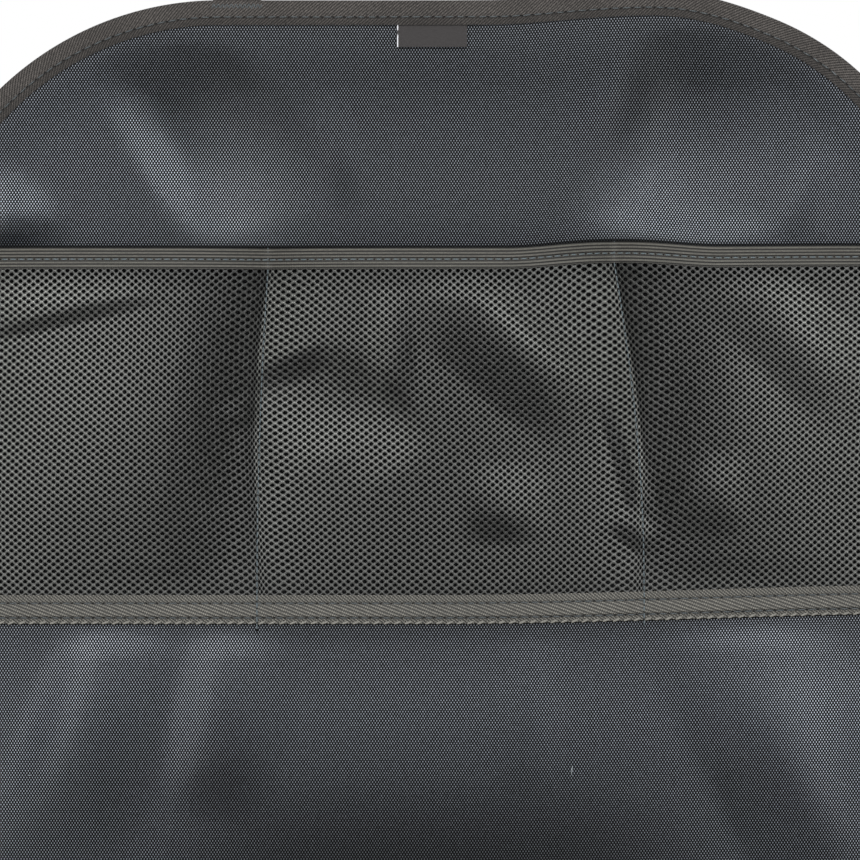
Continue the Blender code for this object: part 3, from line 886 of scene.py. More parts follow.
def over_gaps(graph, shader, share):
    """Shows the shader on a share of the surface, and near-black gaps on the rest."""
    gap = graph.add("ShaderNodeBsdfDiffuse", None, {"Color": (0.004, 0.004, 0.004, 1.0)})
    solid = Wire(graph, shader.outputs[0])
    mixed = graph.add("ShaderNodeMixShader", None, {0: share, 1: gap, 2: solid})
    graph.link(mixed, graph.tree.nodes["Material Output"].inputs["Surface"])


def hollow(down, row, half=0.0009):
    """One along a stitch row, nothing away from it."""
    offset = (down - row).math("ABSOLUTE")
    return 1.0 - offset.smooth(0.0, half)


def woven_finish():
    """Coated plain weave: bright oval threads in staggered rows over dark gaps, with painted shade
    and highlight from the folds and painted shade on the panel behind the net.
    """
    material, graph, shader = new_finish("woven_polyester", 0.34, 0.75)
    shader.inputs["Specular Tint"].default_value = (0.90, 0.95, 1.0, 1.0)
    mapped, across, down = cloth_places(graph)
    wander = graph.noise(mapped, 90.0, 2.0)
    strayed = across + (wander - 0.5) * 0.0008
    dots = (strayed / sizes().weave_pitch).cosine() * (down / (2 * sizes().weave_row)).cosine()
    slubs = graph.noise(mapped, 520.0, 2.0)
    patches = graph.noise(mapped, 14.0, 3.0)
    thread = dots.smooth(0.14, 0.78)
    # Painted shade and highlight: threads are drawn brighter where the folds face up and outward
    # and toward the sides, darker where they face down.
    lean = graph.lean()
    light = (0.11 + slubs * 0.5) * (0.85 + patches * 0.3) * (1.0 + lean)
    # Painted shade: the panel's front is darkened behind the net, in a strip just above the hem
    # tape and in a strip just below the base tape.
    forward = 0.0 - graph.split(graph.places())[1]
    front = forward.smooth(STRAP_BACK + 0.0002, STRAP_BACK + 0.0006)
    pocket = down.smooth(HEM_DEPTH - 0.0024, HEM_DEPTH - 0.0004) * front
    pocket = pocket * (1.0 - down.smooth(BASE_FOOT, BASE_FOOT + 0.0012))
    light = light * (1.0 - pocket * 0.8)
    colour = graph.tint(light * thread, colours().woven, 0.02, 6.8)
    roughness = 0.34 + (slubs - 0.5) * 0.16 + pocket * 0.5
    connect(graph, shader, colour, roughness, dots, 0.00005, 0.2)
    # Painted shade: where the folds face down, less glossy thread and more dark gap is shown.
    shown = 1.0 + lean.math("MINIMUM", lean, 0.0)
    over_gaps(graph, shader, (thread * 0.97 + 0.03) * shown * (1.0 - pocket * 0.8))
    return material


def twill_height(across, down, level_pitch, upright_pitch, grain):
    """Ridges of twill: slanted lines, broken into yarns by a finer grain."""
    ridge = (down / upright_pitch - across / level_pitch).cosine()
    yarn = (across / grain + down / (grain * 2.6)).cosine()
    return ridge * 0.7 + yarn * 0.3


def binding_finish():
    """Twill tape whose ridges rise to the right along the top edge."""
    material, graph, shader = new_finish("twill_binding", 0.70, 0.14)
    mapped, along, down = cloth_places(graph)
    height = twill_height(0.0 - along, down, 0.0016, 0.0014, 0.0008)
    fluff = graph.noise(mapped, 900.0, 3.0)
    patches = graph.noise(mapped, 30.0, 3.0)
    # Painted shade: the colour is darkened along the stitch row's groove.
    sunk = hollow(down, BINDING_WIDTH - BINDING_ROW, 0.0008)
    lip = 1.0 - down.smooth(0.0022, 0.0034)
    light = height.smooth(-1.2, 0.9) * (fluff * 1.9 - 0.15) * (0.45 + patches * 0.8)
    light = light * (1.0 - sunk * 0.7) * (1.0 - lip * 0.4)
    colour = graph.tint(light, colours().binding, 0.05, 1.45)
    connect(graph, shader, colour, 0.6 + fluff * 0.25, height + fluff * 0.5 - sunk, 0.00018, 0.9)
    return material


def webbing_finish():
    """Webbing of the hanging straps: a herringbone of twill."""
    material, graph, shader = new_finish("webbing", 0.72, 0.35)
    mapped, along, down = cloth_places(graph)
    stripe = (down / 0.0052).math("PINGPONG", down / 0.0052, 0.5) * 0.0104
    height = twill_height(along, stripe, 0.0020, 0.0016, 0.0008)
    fluff = graph.noise(mapped, 900.0, 3.0)
    light = (height * 0.5 + 0.5) * (0.55 + fluff * 0.8)
    colour = graph.tint(light, colours().webbing, 0.16, 1.5)
    connect(graph, shader, colour, 0.62 + fluff * 0.25, height + fluff * 0.5, 0.00018, 0.8)
    return material


def ribbed_finish():
    """Ribbed tape: lengthwise ribs of fine filling threads."""
    material, graph, shader = new_finish("ribbed_tape", 0.60, 0.2)
    mapped, across, down = cloth_places(graph)
    ribs = (down * sizes().rib_count / HEM_WIDTH + 0.5).cosine()
    filling = (across / 0.00075).cosine()
    fluff = graph.noise(mapped, 700.0, 3.0)
    stretched = graph.add("ShaderNodeCombineXYZ", None, {0: across * 0.05, 1: down})
    streaks = graph.noise(stretched, 900.0)
    # Painted shade: the colour is darker between the ribs, over their real relief.
    light = ribs.smooth(-0.9, 0.7) * (0.10 + fluff * 0.8 + streaks * 0.7)
    colour = graph.tint(light, colours().ribbed, 0.05, 1.7)
    height = filling * 0.3 + ribs * 0.5 + fluff
    connect(graph, shader, colour, 0.5 + fluff * 0.3, height, 0.00012, 0.7)
    return material


def twill_finish():
    """Twill base tape: bold ridges between its two stitch rows, finer ones outside them."""
    material, graph, shader = new_finish("twill_tape", 0.66, 0.35)
    mapped, across, down = cloth_places(graph)
    bold = twill_height(across, down, 0.0038, 0.0015, 0.0009)
    fine = twill_height(across, down, 0.0017, 0.0014, 0.0008)
    inner = down.smooth(BASE_ROWS[0] - 0.0006, BASE_ROWS[0] + 0.0004)
    inner = inner * (1.0 - down.smooth(BASE_ROWS[1] - 0.0004, BASE_ROWS[1] + 0.0006))
    height = bold * inner + fine * (1.0 - inner)
    # Painted shade: the colour is darkened along both stitch rows' grooves.
    sunk = hollow(down, BASE_ROWS[0]) + hollow(down, BASE_ROWS[1])
    fluff = graph.noise(mapped, 900.0, 3.0)
    patches = graph.noise(mapped, 24.0, 3.0)
    yarns = ((across / 0.0011 + down / 0.0021).cosine()).smooth(-0.9, 0.5)
    light = height.smooth(-0.8, 0.9) * (0.45 + yarns * 0.55) * (0.05 + fluff * 1.6)
    light = light * (0.7 + patches * 0.6) * (1.0 - sunk * 0.75)
    colour = graph.tint(light, colours().twill, 0.10, 1.6)
    connect(graph, shader, colour, 0.55 + fluff * 0.3, height + fluff * 0.4 - sunk, 0.0002, 0.9)
    return material


def net_finish():
    """Knitted yarn, with a painted highlight on the loop at each gap's left and a dull loop on its
    right, painted shade and highlight from the creases, and a painted shadow near the tapes.
    """
    material, graph, shader = new_finish("knitted_net", 0.34, 0.22)
    mapped, _, down = cloth_places(graph)
    local = graph.add("ShaderNodeUVMap", {"uv_map": "cell"})
    x, y = graph.split(local)[:2]
    x, y = x - 0.5, y - 0.5
    reach = (x * x + y * y).math("SQRT")
    lean = graph.lean()
    # Painted highlight: the loop on each gap's left is drawn bright, the one on its right dull.
    loop = 1.0 - ((reach - 0.29).math("ABSOLUTE")).smooth(0.01, 0.10)
    side = (0.0 - x).smooth(-0.12, 0.22)
    plies = ((x * 0.7 + y) / 0.085).cosine()
    fluff = graph.noise(mapped, 800.0, 2.0)
    patches = graph.noise(mapped, 22.0, 3.0)
    light = (0.08 + loop * side * 0.95 + plies * 0.06) * (0.6 + fluff * 0.7)
    light = light * (0.8 + patches * 0.4)
    # Painted shadow: the net is darkened under the hem tape and just above the base tape.
    free_of_tape_shadow = down.smooth(HEM_FOOT - 0.002, HEM_FOOT + 0.013)
    free_of_tape_shadow = free_of_tape_shadow * (1.0 - down.smooth(BASE_DEPTH - 0.008, BASE_DEPTH) * 0.4)
    # Painted shade and highlight from the creases and the slack, stored as lean.
    light = light * (1.0 + lean) * (0.29 + free_of_tape_shadow * 0.29)
    colour = graph.tint(light, colours().net, 0.04, 6.0)
    connect(graph, shader, colour, 0.26 + fluff * 0.2, plies * 0.4 + fluff * 0.4, 0.00006, 0.3)
    return material


def thread_finish(name, level, tone="thread"):
    """Twisted thread of one of the scene's colours."""
    material, graph, shader = new_finish(name, 0.5, 0.5)
    place = graph.places()
    x, _, z = graph.split(place)
    plies = ((x + z) / 0.0007).cosine()
    fluff = graph.noise(place, 1500.0, 2.0)
    light = (0.55 + plies * 0.25) * (0.6 + fluff * 0.8)
    colour = graph.tint(light, getattr(colours(), tone), level * 0.35, level * 1.5)
    connect(graph, shader, colour, 0.4 + fluff * 0.3, plies + fluff, 0.0001, 0.5)
    return material


def hole_shade_finish():
    """Painted shade of a needle hole: a near-black dot laid between stitches."""
    material, graph, shader = new_finish("needle_hole", 0.9, 0.1)
    place = graph.places()
    tone = graph.noise(place, 900.0, 1.0)
    colour = graph.blend(tone, (0.002, 0.002, 0.002, 1.0), (0.008, 0.009, 0.010, 1.0))
    graph.link(colour, shader.inputs["Base Color"])
    return material


def tag_finish():
    """Satin tag with a bare face and a white selvedge on its fold."""
    material, graph, shader = new_finish("satin_tag", 0.55, 0.15)
    mapped, across, down = cloth_places(graph)
    rows = (down / 0.00042).cosine()
    ends = (across / 0.00050).cosine()
    fluff = graph.noise(mapped, 1200.0, 2.0)
    light = 0.45 + rows * 0.15 + ends * 0.12 + fluff * 0.35
    face = graph.tint(light, colours().tag, 0.5, 1.4)
    fold = 1.0 - (across - TAG_LEFT).math("ABSOLUTE").smooth(0.0003, 0.0007)
    wear = graph.noise(mapped, 400.0, 1.0).smooth(0.30, 0.5)
    colour = graph.blend(fold * wear, face, (0.62, 0.63, 0.66, 1.0))
    connect(graph, shader, colour, 0.48 + fluff * 0.2, rows * 0.5 + ends * 0.5, 0.00005, 0.6)
    return material


def lint_finish():
    """Pale fluff."""
    material, graph, shader = new_finish("lint", 0.8, 0.2)
    place = graph.places()
    tone = graph.noise(place, 300.0, 1.0)
    colour = graph.blend(tone, (0.10, 0.14, 0.15, 1.0), (0.55, 0.58, 0.60, 1.0))
    graph.link(colour, shader.inputs["Base Color"])
    return material


def floor_finish():
    """Pale matt floor with faint unevenness."""
    material, graph, shader = new_finish("pale_floor", 0.8, 0.2)
    place = graph.places()
    tone = graph.noise(place, 1.5, 3.0)
    colour = graph.tint(tone, colours().floor, 0.98, 1.02)
    graph.link(colour, shader.inputs["Base Color"])
    return material


# Pieces.


def build_panel():
    """The woven panel: one ply, cut to the outline inside the binding's fold."""
    shoulder = SHOULDER_RADIUS * (1.0 - np.cos(np.linspace(0.0, math.pi / 2, 44)[:-1]))
    count = round((FOOT_TOP - SHOULDER_RADIUS) / PANEL_ROW)
    middle = np.linspace(SHOULDER_RADIUS, FOOT_TOP, count + 1)[:-1]
    foot = FOOT_TOP + FOOT_RADIUS * np.sin(np.linspace(0.0, math.pi / 2, 16))
    row = np.concatenate([shoulder, middle, foot])[:, None]
    half, out, up = edge_at(row)
    share = np.linspace(-1.0, 1.0, PANEL_COLUMNS + 1)[None, :]
    across = (half - EDGE_OFFSET * out) * share
    depth = row + EDGE_OFFSET * up + 0.0 * share
    front = drape(across, depth, PANEL_THICKNESS)
    back = drape(across, depth, 0.0)
    rings = np.concatenate([front, back[:, ::-1]], axis=1)
    flat = np.stack([across + HALF_WIDTH, depth], axis=-1)
    flat = np.concatenate([flat, flat[:, ::-1], flat[:, :1]], axis=1)
    mesh = tube("woven_panel", rings, flat)
    ring = np.concatenate([across, across[:, ::-1]], axis=1)
    # Painted shade and highlight from the folds, stored on the mesh for the woven finish.
    set_painted_shade(mesh, ring, panel_painted_shade(ring, depth[:, :1] + 0.0 * ring))
    return add_piece("woven_panel", mesh, woven_finish(), ("main_panel",))


def binding_flange():
    """The front flange's outer side as (inward, height) pairs, from its inner edge to the fold."""
    fold = BINDING_THICKNESS
    flange = [(BINDING_WIDTH - 0.0002, 0.0003), (BINDING_WIDTH, fold)]
    for inward in np.linspace(BINDING_WIDTH - 0.0006, 0.0020, 12):
        sunk = float(groove(inward, BINDING_ROW, BINDING_GROOVE))
        flange.append((inward, fold + 0.00008 - sunk))
    return flange + [(0.0010, fold), (0.0003, fold * 0.55)]


def seat_round(across, depth, up):
    """The height of what lies under the binding at stations round the outline."""
    return binding_seat(across, depth, (up > 0.99).astype(float))


def build_binding():
    """The edge binding: one folded tape round the whole outline."""
    stations, way = outline(OUTLINE_STEP)
    across, depth, out, up = (stations[:, i:i + 1] for i in range(4))
    seat = seat_round(across, depth, up)
    rear = 0.0 * seat - CLEARANCE
    flange = binding_flange()
    columns = [(inward, seat + CLEARANCE + height) for inward, height in flange]
    columns.append((0.0, 0.3 * seat + 0.7 * rear))
    columns += [(inward, rear - height) for inward, height in reversed(flange[1:])]
    columns += [(BINDING_WIDTH, rear), (BINDING_THICKNESS, rear)]
    columns.append((BINDING_THICKNESS, seat + CLEARANCE))
    inward = np.array([column[0] for column in columns])[None, :]
    height = np.concatenate([column[1] for column in columns], axis=1)
    rings = drape(across - inward * out, depth + inward * up, height)
    section = np.stack([inward[0], height[0]], axis=-1)
    girth = np.hypot(*np.diff(section, axis=0, append=section[:1]).T)
    flat = cloth_grid(way, running_length(girth))
    mesh = tube("bound_edge", rings, flat, closed=True)
    return add_piece("bound_edge", mesh, binding_finish(), ("edge_binding",))


def net_cell():
    """One cell of the net: strands with rounded backs about a six-sided gap."""
    half_pitch, row = sizes().net_pitch / 2, sizes().net_row
    tip = (half_pitch ** 2 + row ** 2) / (2 * half_pitch)
    short = (half_pitch ** 2 - row ** 2) / (2 * half_pitch)
    corners = np.array([
        (tip, 0), (short, row), (-short, row), (-tip, 0), (-short, -row), (short, -row)])
    angle = np.arange(6) * math.pi / 3
    half_gap = np.array([sizes().gap_width, sizes().gap_height]) / 2
    gap = np.stack([np.cos(angle), np.sin(angle)], -1) * half_gap
    back = corners * 0.42 + gap * 0.58
    crown = sizes().strand_rise
    rings = [(corners, crown), (back, crown * 0.82), (gap, 0.0), (corners, -crown * STRAND_REAR)]
    points = [(x, y, height) for ring, height in rings for x, y in ring]
    faces = []
    for upper, lower in ((0, 6), (6, 12), (12, 18)):
        for i in range(6):
            k = (i + 1) % 6
            faces.append((upper + i, upper + k, lower + k, lower + i))
    mesh = bpy.data.meshes.new("net_cell")
    mesh.from_pydata(points, [], faces)
    layer = mesh.uv_layers.new(name="cell")
    for loop in mesh.loops:
        x, y, _ = points[loop.vertex_index]
        layer.data[loop.index].uv = (0.5 + x / (4 * tip), 0.5 + y / (4 * tip))
    return add_object("net_cell", mesh)


def net_wander(across, depth):
    """How far the net's rows and columns stray sideways, with a pinch at the divider seams."""
    stray = 0.0016 * np.sin(depth * 31.0 + across * 17.0 + 0.6)
    stray = stray + 0.0009 * np.sin(across * 52.0 - depth * 24.0)
    for seam in DIVIDERS:
        offset = (across - divider(seam, depth)) / PINCH_WIDTH
        stray = stray - PINCH * offset * np.exp(-offset * offset)
    return stray


def net_painted_shade(across, depth):
    """Painted shade and highlight of the net: brighter where its creases face up and its slack
    faces outward, darker where they face down and inward.
    """
    up, crease_outward = facing(net_creases, across, depth)
    outward = facing(mesh_height, across, depth)[1] + crease_outward
    return np.clip(NET_SHADE_ANSWER[0] * up + NET_SHADE_ANSWER[1] * outward, *NET_SHADE_RANGE)


def place_net(across, depth, height):
    """The places of the net's points on the hanging part."""
    across = across + net_wander(across, depth)
    base = mesh_height(across, depth) + net_creases(across, depth) + MESH_THICKNESS / 2
    return drape(across, depth, base + height)


def build_net():
    """The pocket net: three fronts of one width, each gap a real one."""
    tree = net_growth()
    cell = net_cell()
    finish = net_finish()
    rng = np.random.default_rng(7)
    row = sizes().net_row
    pieces = []
    first = MESH_TOP + row
    depths = first + row * np.arange(int((MESH_FOOT - first) / row))
    pitch = sizes().net_pitch
    columns = np.arange(-NET_COLUMNS, NET_COLUMNS + 1) * pitch
    across = columns[None, :] + (np.arange(len(depths)) % 2)[:, None] * pitch / 2
    depth = depths[:, None] + 0.0 * across
    edge = edge_at(depth)[0] - EDGE_OFFSET - LAYER_INSET - pitch / 2
    seams = [-edge, *(divider(seam, depth) for seam in DIVIDERS), edge]
    for name, start, end in zip(("left", "middle", "right"), seams, seams[1:]):
        inside = (across > start) & (across <= end)
        points = np.stack([across[inside], depth[inside], 0.0 * depth[inside]], -1)
        mesh = bpy.data.meshes.new(name)
        mesh.from_pydata(points.tolist(), [], [])
        title = f"pocket_net_{name}"
        thickness = sizes().strand_rise * (1 + STRAND_REAR)
        inputs = {"Cell": cell, "Thickness": thickness, "Material": finish}
        net = grow(title, mesh, tree, inputs)
        flat = np.empty(len(net.vertices) * 3, np.float32)
        net.vertices.foreach_get("co", flat)
        flat = flat.reshape(-1, 3).astype(float)
        lattice = flat[:, :2] + rng.normal(0.0, YARN_STRAY, flat[:, :2].shape)
        places = place_net(lattice[:, 0], lattice[:, 1], flat[:, 2])
        net.vertices.foreach_set("co", places.astype(np.float32).ravel())
        # Painted shade and highlight from the creases and slack, stored on the mesh for the net
        # finish.
        set_painted_shade(net, lattice[:, 0], net_painted_shade(lattice[:, 0], lattice[:, 1]))
        corner = np.empty(len(net.loops), np.int32)
        net.loops.foreach_get("vertex_index", corner)
        layer = net.uv_layers.new(name="cloth")
        own = np.stack([flat[:, 0] + HALF_WIDTH, flat[:, 1]], -1)[corner]
        layer.data.foreach_set("uv", own.astype(np.float32).ravel())
        turn_outward(net)
        piece = add_piece(title, net, finish, ("pocket_mesh",))
        pieces.append((piece, points))
    bpy.data.objects.remove(cell)
    return pieces


def build_hem_tape():
    """The hem tape: ribbed, folded over the net's top edge from side to side."""
    fold = HEM_TAPE_THICKNESS
    front = MESH_THICKNESS + CLEARANCE + fold
    rear = -CLEARANCE - fold
    share = np.linspace(0.0, 1.0, 6 * sizes().rib_count + 1)
    ribs = sizes().rib_rise * (0.5 - 0.5 * np.cos(share * 2 * math.pi * sizes().rib_count))
    sunk = groove(share * HEM_WIDTH, HEM_ROW, HEM_GROOVE)
    face = np.stack([HEM_DEPTH + share * HEM_WIDTH, front - 0.0001 + ribs - sunk], -1)
    back = np.stack([face[::-1, 0], np.full(len(face), rear)], -1)
    lip = np.array([
        (HEM_FOOT, front - fold), (HEM_DEPTH + fold, front - fold),
        (HEM_DEPTH + fold, rear + fold), (HEM_FOOT, rear + fold),
    ])
    section = np.vstack([face, lip, back[:-1], [(HEM_DEPTH - 0.0001, front * 0.5)]])
    edge = float(edge_at(HEM_DEPTH)[0]) - EDGE_OFFSET - LAYER_INSET
    across = np.linspace(-edge, edge, round(2 * edge / TAPE_STEP / 1.5))

    def place(across, depth, height):
        return drape(across, depth, mesh_height(across, depth) + height)

    mesh = strip("hem_tape", across, section, place)
    return add_piece("hem_tape", mesh, ribbed_finish(), ("pocket_hem_tape",))


def build_base_tape():
    """The base tape: flat over the net's lower edge, turned down onto the panel below it."""
    upper = MESH_STACK + CLEARANCE
    thick = BASE_TAPE_THICKNESS
    down = np.linspace(0.0, BASE_WIDTH, 26)
    fall = smooth_step((down - BASE_WIDTH + BASE_TURN) / BASE_TURN) * (upper - MESH_SEAT)
    sunk = sum(groove(down, row, BASE_GROOVE) for row in BASE_ROWS)
    crown = 0.00012 * np.sin(math.pi * down / BASE_WIDTH)
    face = np.stack([BASE_DEPTH + down, upper + thick - fall - sunk + crown], -1)
    rear = np.stack([BASE_DEPTH + down, upper - fall], -1)[::-1]
    section = np.vstack([face, rear])
    edge = float(edge_at(BASE_DEPTH)[0]) - EDGE_OFFSET - LAYER_INSET
    across = np.linspace(-edge, edge, round(2 * edge / TAPE_STEP))
    mesh = strip("base_tape", across, section, drape)
    return add_piece("base_tape", mesh, twill_finish(), ("pocket_base_tape",))


def loop_path(steps):
    """The strap's centre line as (back, up) pairs, about the loop's middle plane."""
    crown_radius = LOOP_RADIUS + STRAP_THICKNESS / 2
    crown_centre = LOOP_HEIGHT - LOOP_RADIUS
    tail = [(LAYER_HALF, height) for height in np.linspace(-STRAP_TAIL, 0.0, 6)]
    share = np.linspace(0.0, 1.0, steps)
    half = LAYER_HALF + (crown_radius - LAYER_HALF) * smooth_step(share)
    rising = np.stack([half, LOOP_START + (crown_centre - LOOP_START) * share], -1)
    leg = np.vstack([tail, rising])
    angle = math.pi * np.arange(1, steps) / steps
    crown = np.stack([-np.cos(angle), np.sin(angle)], -1) * crown_radius + (0.0, crown_centre)
    return np.vstack([leg * (-1.0, 1.0), crown, leg[::-1]])


def build_straps():
    """The two hanging straps: webbing loops with rounded edges."""
    path = loop_path(24)
    ahead = np.gradient(path, axis=0)
    ahead /= np.hypot(*ahead.T)[:, None]
    half, thick = STRAP_WIDTH / 2, STRAP_THICKNESS / 2
    side = np.concatenate([np.linspace(-half + 0.0008, half - 0.0008, 12), [half - 0.0003, half]])
    lift = np.concatenate([np.full(12, 1.0), [0.8, 0.3]]) * thick
    side = np.concatenate([[-half, -half + 0.0003], side])
    lift = np.concatenate([[0.3 * thick, 0.8 * thick], lift])
    side = np.concatenate([side, side[::-1]])
    lift = np.concatenate([lift, -lift[::-1]])
    way = running_length(np.hypot(*np.diff(path, axis=0).T))
    girth = running_length(np.abs(np.diff(side)))
    flat = cloth_grid(way, np.append(girth, girth[-1]))
    finish = webbing_finish()
    for name, sign in (("left", -1), ("right", 1)):
        centre = sign * STRAP_SPACING / 2
        y = path[:, :1] + ahead[:, 1:] * lift[None, :]
        z = path[:, 1:] - ahead[:, :1] * lift[None, :] - LOOP_HEIGHT + float(rise(centre, 0.0))
        rings = np.stack([centre + side[None, :] + 0.0 * y, y, z], -1)
        mesh = tube(f"strap_{name}", rings, flat)
        node = f"hanging_strap_{name}"
        add_piece(f"strap_{name}", mesh, finish, (node,))


def build_tag():
    """The tag: one strip folded at its left edge, its foot curling forward a little."""
    thick = TAG_THICKNESS
    slot = thick + CLEARANCE
    wide = np.linspace(TAG_LEFT + thick, TAG_RIGHT, 14)
    section = np.vstack([
        np.stack([wide[::-1], np.full(14, slot + thick)], -1),
        [(TAG_LEFT + 0.00008, slot + 0.7 * thick), (TAG_LEFT, thick + CLEARANCE / 2)],
        [(TAG_LEFT + 0.00008, 0.3 * thick)],
        np.stack([wide, np.zeros(14)], -1),
        [(TAG_RIGHT, thick)],
        [(TAG_LEFT + thick, thick), (TAG_LEFT + thick, slot), (TAG_RIGHT, slot)],
    ])
    depth = np.concatenate([[TAG_TOP], np.linspace(BINDING_WIDTH - 0.001, TAG_FOOT, 16)])
    shown = np.clip((depth - BINDING_WIDTH) / (TAG_FOOT - BINDING_WIDTH), 0.0, 1.0)[:, None]
    wave = 0.0002 * np.sin(section[None, :, 0] * 230.0) * shown
    height = TAG_SEAT + TAG_CURL * shown ** 2 + wave + section[None, :, 1]
    rings = drape(section[None, :, 0], depth[:, None], height)
    flat = np.stack(np.broadcast_arrays(section[None, :, 0], depth[:, None]), -1)
    flat = np.concatenate([flat, flat[:, :1]], axis=1)
    mesh = tube("folded_tag", rings, flat)
    return add_piece("folded_tag", mesh, tag_finish(), ("label_tag",))


def sewn_path(across, depth, height, forward=1.0):
    """A path of sewing through points of the flat layout, which faces forward or back."""
    points = drape(across, depth, height)
    return points, np.tile((0.0, -forward, 0.0), (len(points), 1))


def level_row(tape_depth, row):
    """Where a row of sewing on a tape runs, between the bindings: its places and its depth."""
    half = float(edge_at(tape_depth)[0]) - BINDING_WIDTH
    return np.linspace(-half, half, 400), tape_depth + row


def binding_paths():
    """The binding's row of sewing, on the front and on the back."""
    stations, _ = outline(OUTLINE_STEP)
    stations = np.vstack([stations, stations[:1]])
    across, depth, out, up = stations.T
    row = across - BINDING_ROW * out, depth + BINDING_ROW * up
    lift = CLEARANCE + BINDING_THICKNESS - STITCH_SINK
    front = sewn_path(*row, seat_round(across, depth, up) + lift)
    return [front, sewn_path(*row, -lift, -1.0)]


def divider_path(seam):
    """A divider seam's sewing, over the hem tape, the net and the base tape."""
    down = np.linspace(HEM_DEPTH + 0.0008, BASE_FOOT + 0.0012, 160)
    line = divider(seam, down)
    over_mesh = mesh_height(line, down) + MESH_THICKNESS + net_creases(line, down)
    over_hem = np.where(down < HEM_FOOT, CLEARANCE + HEM_TAPE_THICKNESS + THREAD_LIFT, 0.0)
    over_base = np.where(down > BASE_DEPTH, BASE_STACK - MESH_STACK + THREAD_LIFT, 0.0)
    return sewn_path(line, down, over_mesh + THREAD_LIFT + over_hem + over_base)


def tack_path(side):
    """The bar tack that holds one strap, across its width."""
    centre = side * STRAP_SPACING / 2
    place = np.linspace(centre - STRAP_WIDTH / 2, centre + STRAP_WIDTH / 2, 30)
    return sewn_path(place, TACK_DEPTH, PANEL_THICKNESS + CLEARANCE + BINDING_THICKNESS)


def build_sewing():
    """The sewing thread: rows on the binding, tapes and dividers, and the bar tacks."""
    tree = stitch_growth()
    dark = thread_finish("thread_dark", 0.38)
    pale = thread_finish("thread_pale", 1.1)
    hole = hole_shade_finish()
    width = sizes().thread_width
    hem = level_row(HEM_DEPTH, HEM_ROW)
    hem_top = mesh_height(*hem) + MESH_THICKNESS + CLEARANCE + HEM_TAPE_THICKNESS
    base = [sewn_path(*level_row(BASE_DEPTH, row), BASE_STACK - THREAD_LIFT) for row in BASE_ROWS]
    panel_top = MESH_SEAT + BASE_TAPE_THICKNESS
    loops = sewn_path(*level_row(BASE_DEPTH, SELVEDGE_ROW), panel_top + THREAD_LIFT)
    seams = [divider_path(seam) for seam in DIVIDERS]
    tacks = [tack_path(side) for side in (-1, 1)]
    rows = {
        "binding_stitches": (binding_paths(), dark, dict(Pitch=0.0047, Length=0.0036)),
        "hem_stitches": (
            [sewn_path(*hem, hem_top + THREAD_LIFT)], pale, dict(Pitch=0.0036, Length=0.0027)),
        "base_stitches": (base, dark, dict(Pitch=0.0045, Length=0.0034)),
        "selvedge_bumps": (
            [loops], thread_finish("selvedge", 1.1, "twill"),
            dict(Pitch=0.0044, Length=0.0036, Lean=0.34, Width=0.0011)),
        "divider_stitches": (seams, pale, dict(Pitch=0.0030, Length=0.0027)),
        "bar_tacks": (tacks, dark, dict(Pitch=0.0009, Length=0.0024, Lean=1.15, Zigzag=1.0)),
    }
    pieces = []
    for seed, (name, (paths, finish, values)) in enumerate(rows.items(), start=1):
        inputs = {"Width": width, "Height": width * 0.8, "Seed": seed, "Material": finish}
        inputs.update(values)
        mesh = grow(name, path_mesh(name, paths), tree, inputs)
        pieces.append(add_piece(name, mesh, finish))
        if "Lean" in values:
            continue
        # Painted shade: a near-black dot between stitches stands for the shadow in each needle
        # hole.
        hole_shade_dots = {**inputs, "Shift": values["Pitch"] / 2, "Length": values["Pitch"] * HOLE_SHARE}
        hole_shade_dots.update(Width=width * 0.9, Height=width * 0.5, Material=hole)
        title = name.replace("stitches", "needle_holes")
        mesh = grow(title, path_mesh(title, paths), tree, hole_shade_dots)
        pieces.append(add_piece(title, mesh, hole))
    return pieces


def build_lint():
    """Loose fluff on the cloth: a short tuft of thread and two pale specks."""
    rng = np.random.default_rng(11)
    count, sides = 12, 6
    share = np.linspace(-0.5, 0.5, count)
    angle = np.arange(sides) * 2 * math.pi / sides
    radius = FLUFF_RADIUS * (1.0 - (2 * share[:, None]) ** 4 * 0.8)
    height = PANEL_THICKNESS + 0.00012 + radius * np.sin(angle)[None, :]
    work = bmesh.new()
    for across, depth, length, lean in LINT_SPOTS:
        turn = math.radians(lean)
        bend = np.cumsum(rng.normal(0.0, 0.00008, count))
        x = across + share * length * math.cos(turn) - bend * math.sin(turn)
        down = depth - share * length * math.sin(turn) - bend * math.cos(turn)
        rings = drape(x[:, None] + radius * np.cos(angle)[None, :], down[:, None], height)
        work.from_mesh(tube("fluff", rings, np.zeros((count, sides + 1, 2))))
    joined = bpy.data.meshes.new("lint")
    work.to_mesh(joined)
    work.free()
    return add_piece("lint", joined, lint_finish())


# Stage.


def add_softbox(name, place, size, power, tint):
    """A soft lamp that faces the part and isn't seen itself."""
    lamp = bpy.data.lights.new(name, "AREA")
    lamp.shape = "RECTANGLE"
    lamp.size, lamp.size_y = size
    lamp.energy = power
    lamp.color = tint
    item = add_object(name, lamp)
    item.location = place
    way = item.location - type(item.location)(LAMP_AIM)
    item.rotation_euler = way.to_track_quat("Z", "Y").to_euler()
    item.visible_camera = False


def add_floor():
    """The pale floor, a little below the part."""
    floor = bpy.data.meshes.new("floor")
    work = bmesh.new()
    bmesh.ops.create_circle(work, cap_ends=True, segments=64, radius=FLOOR_RADIUS)
    work.to_mesh(floor)
    work.free()
    floor.materials.append(floor_finish())
    item = add_object("floor", floor)
    item.location = (0.0, 0.0, CAD_BOX[0][2] - FLOOR_GAP)


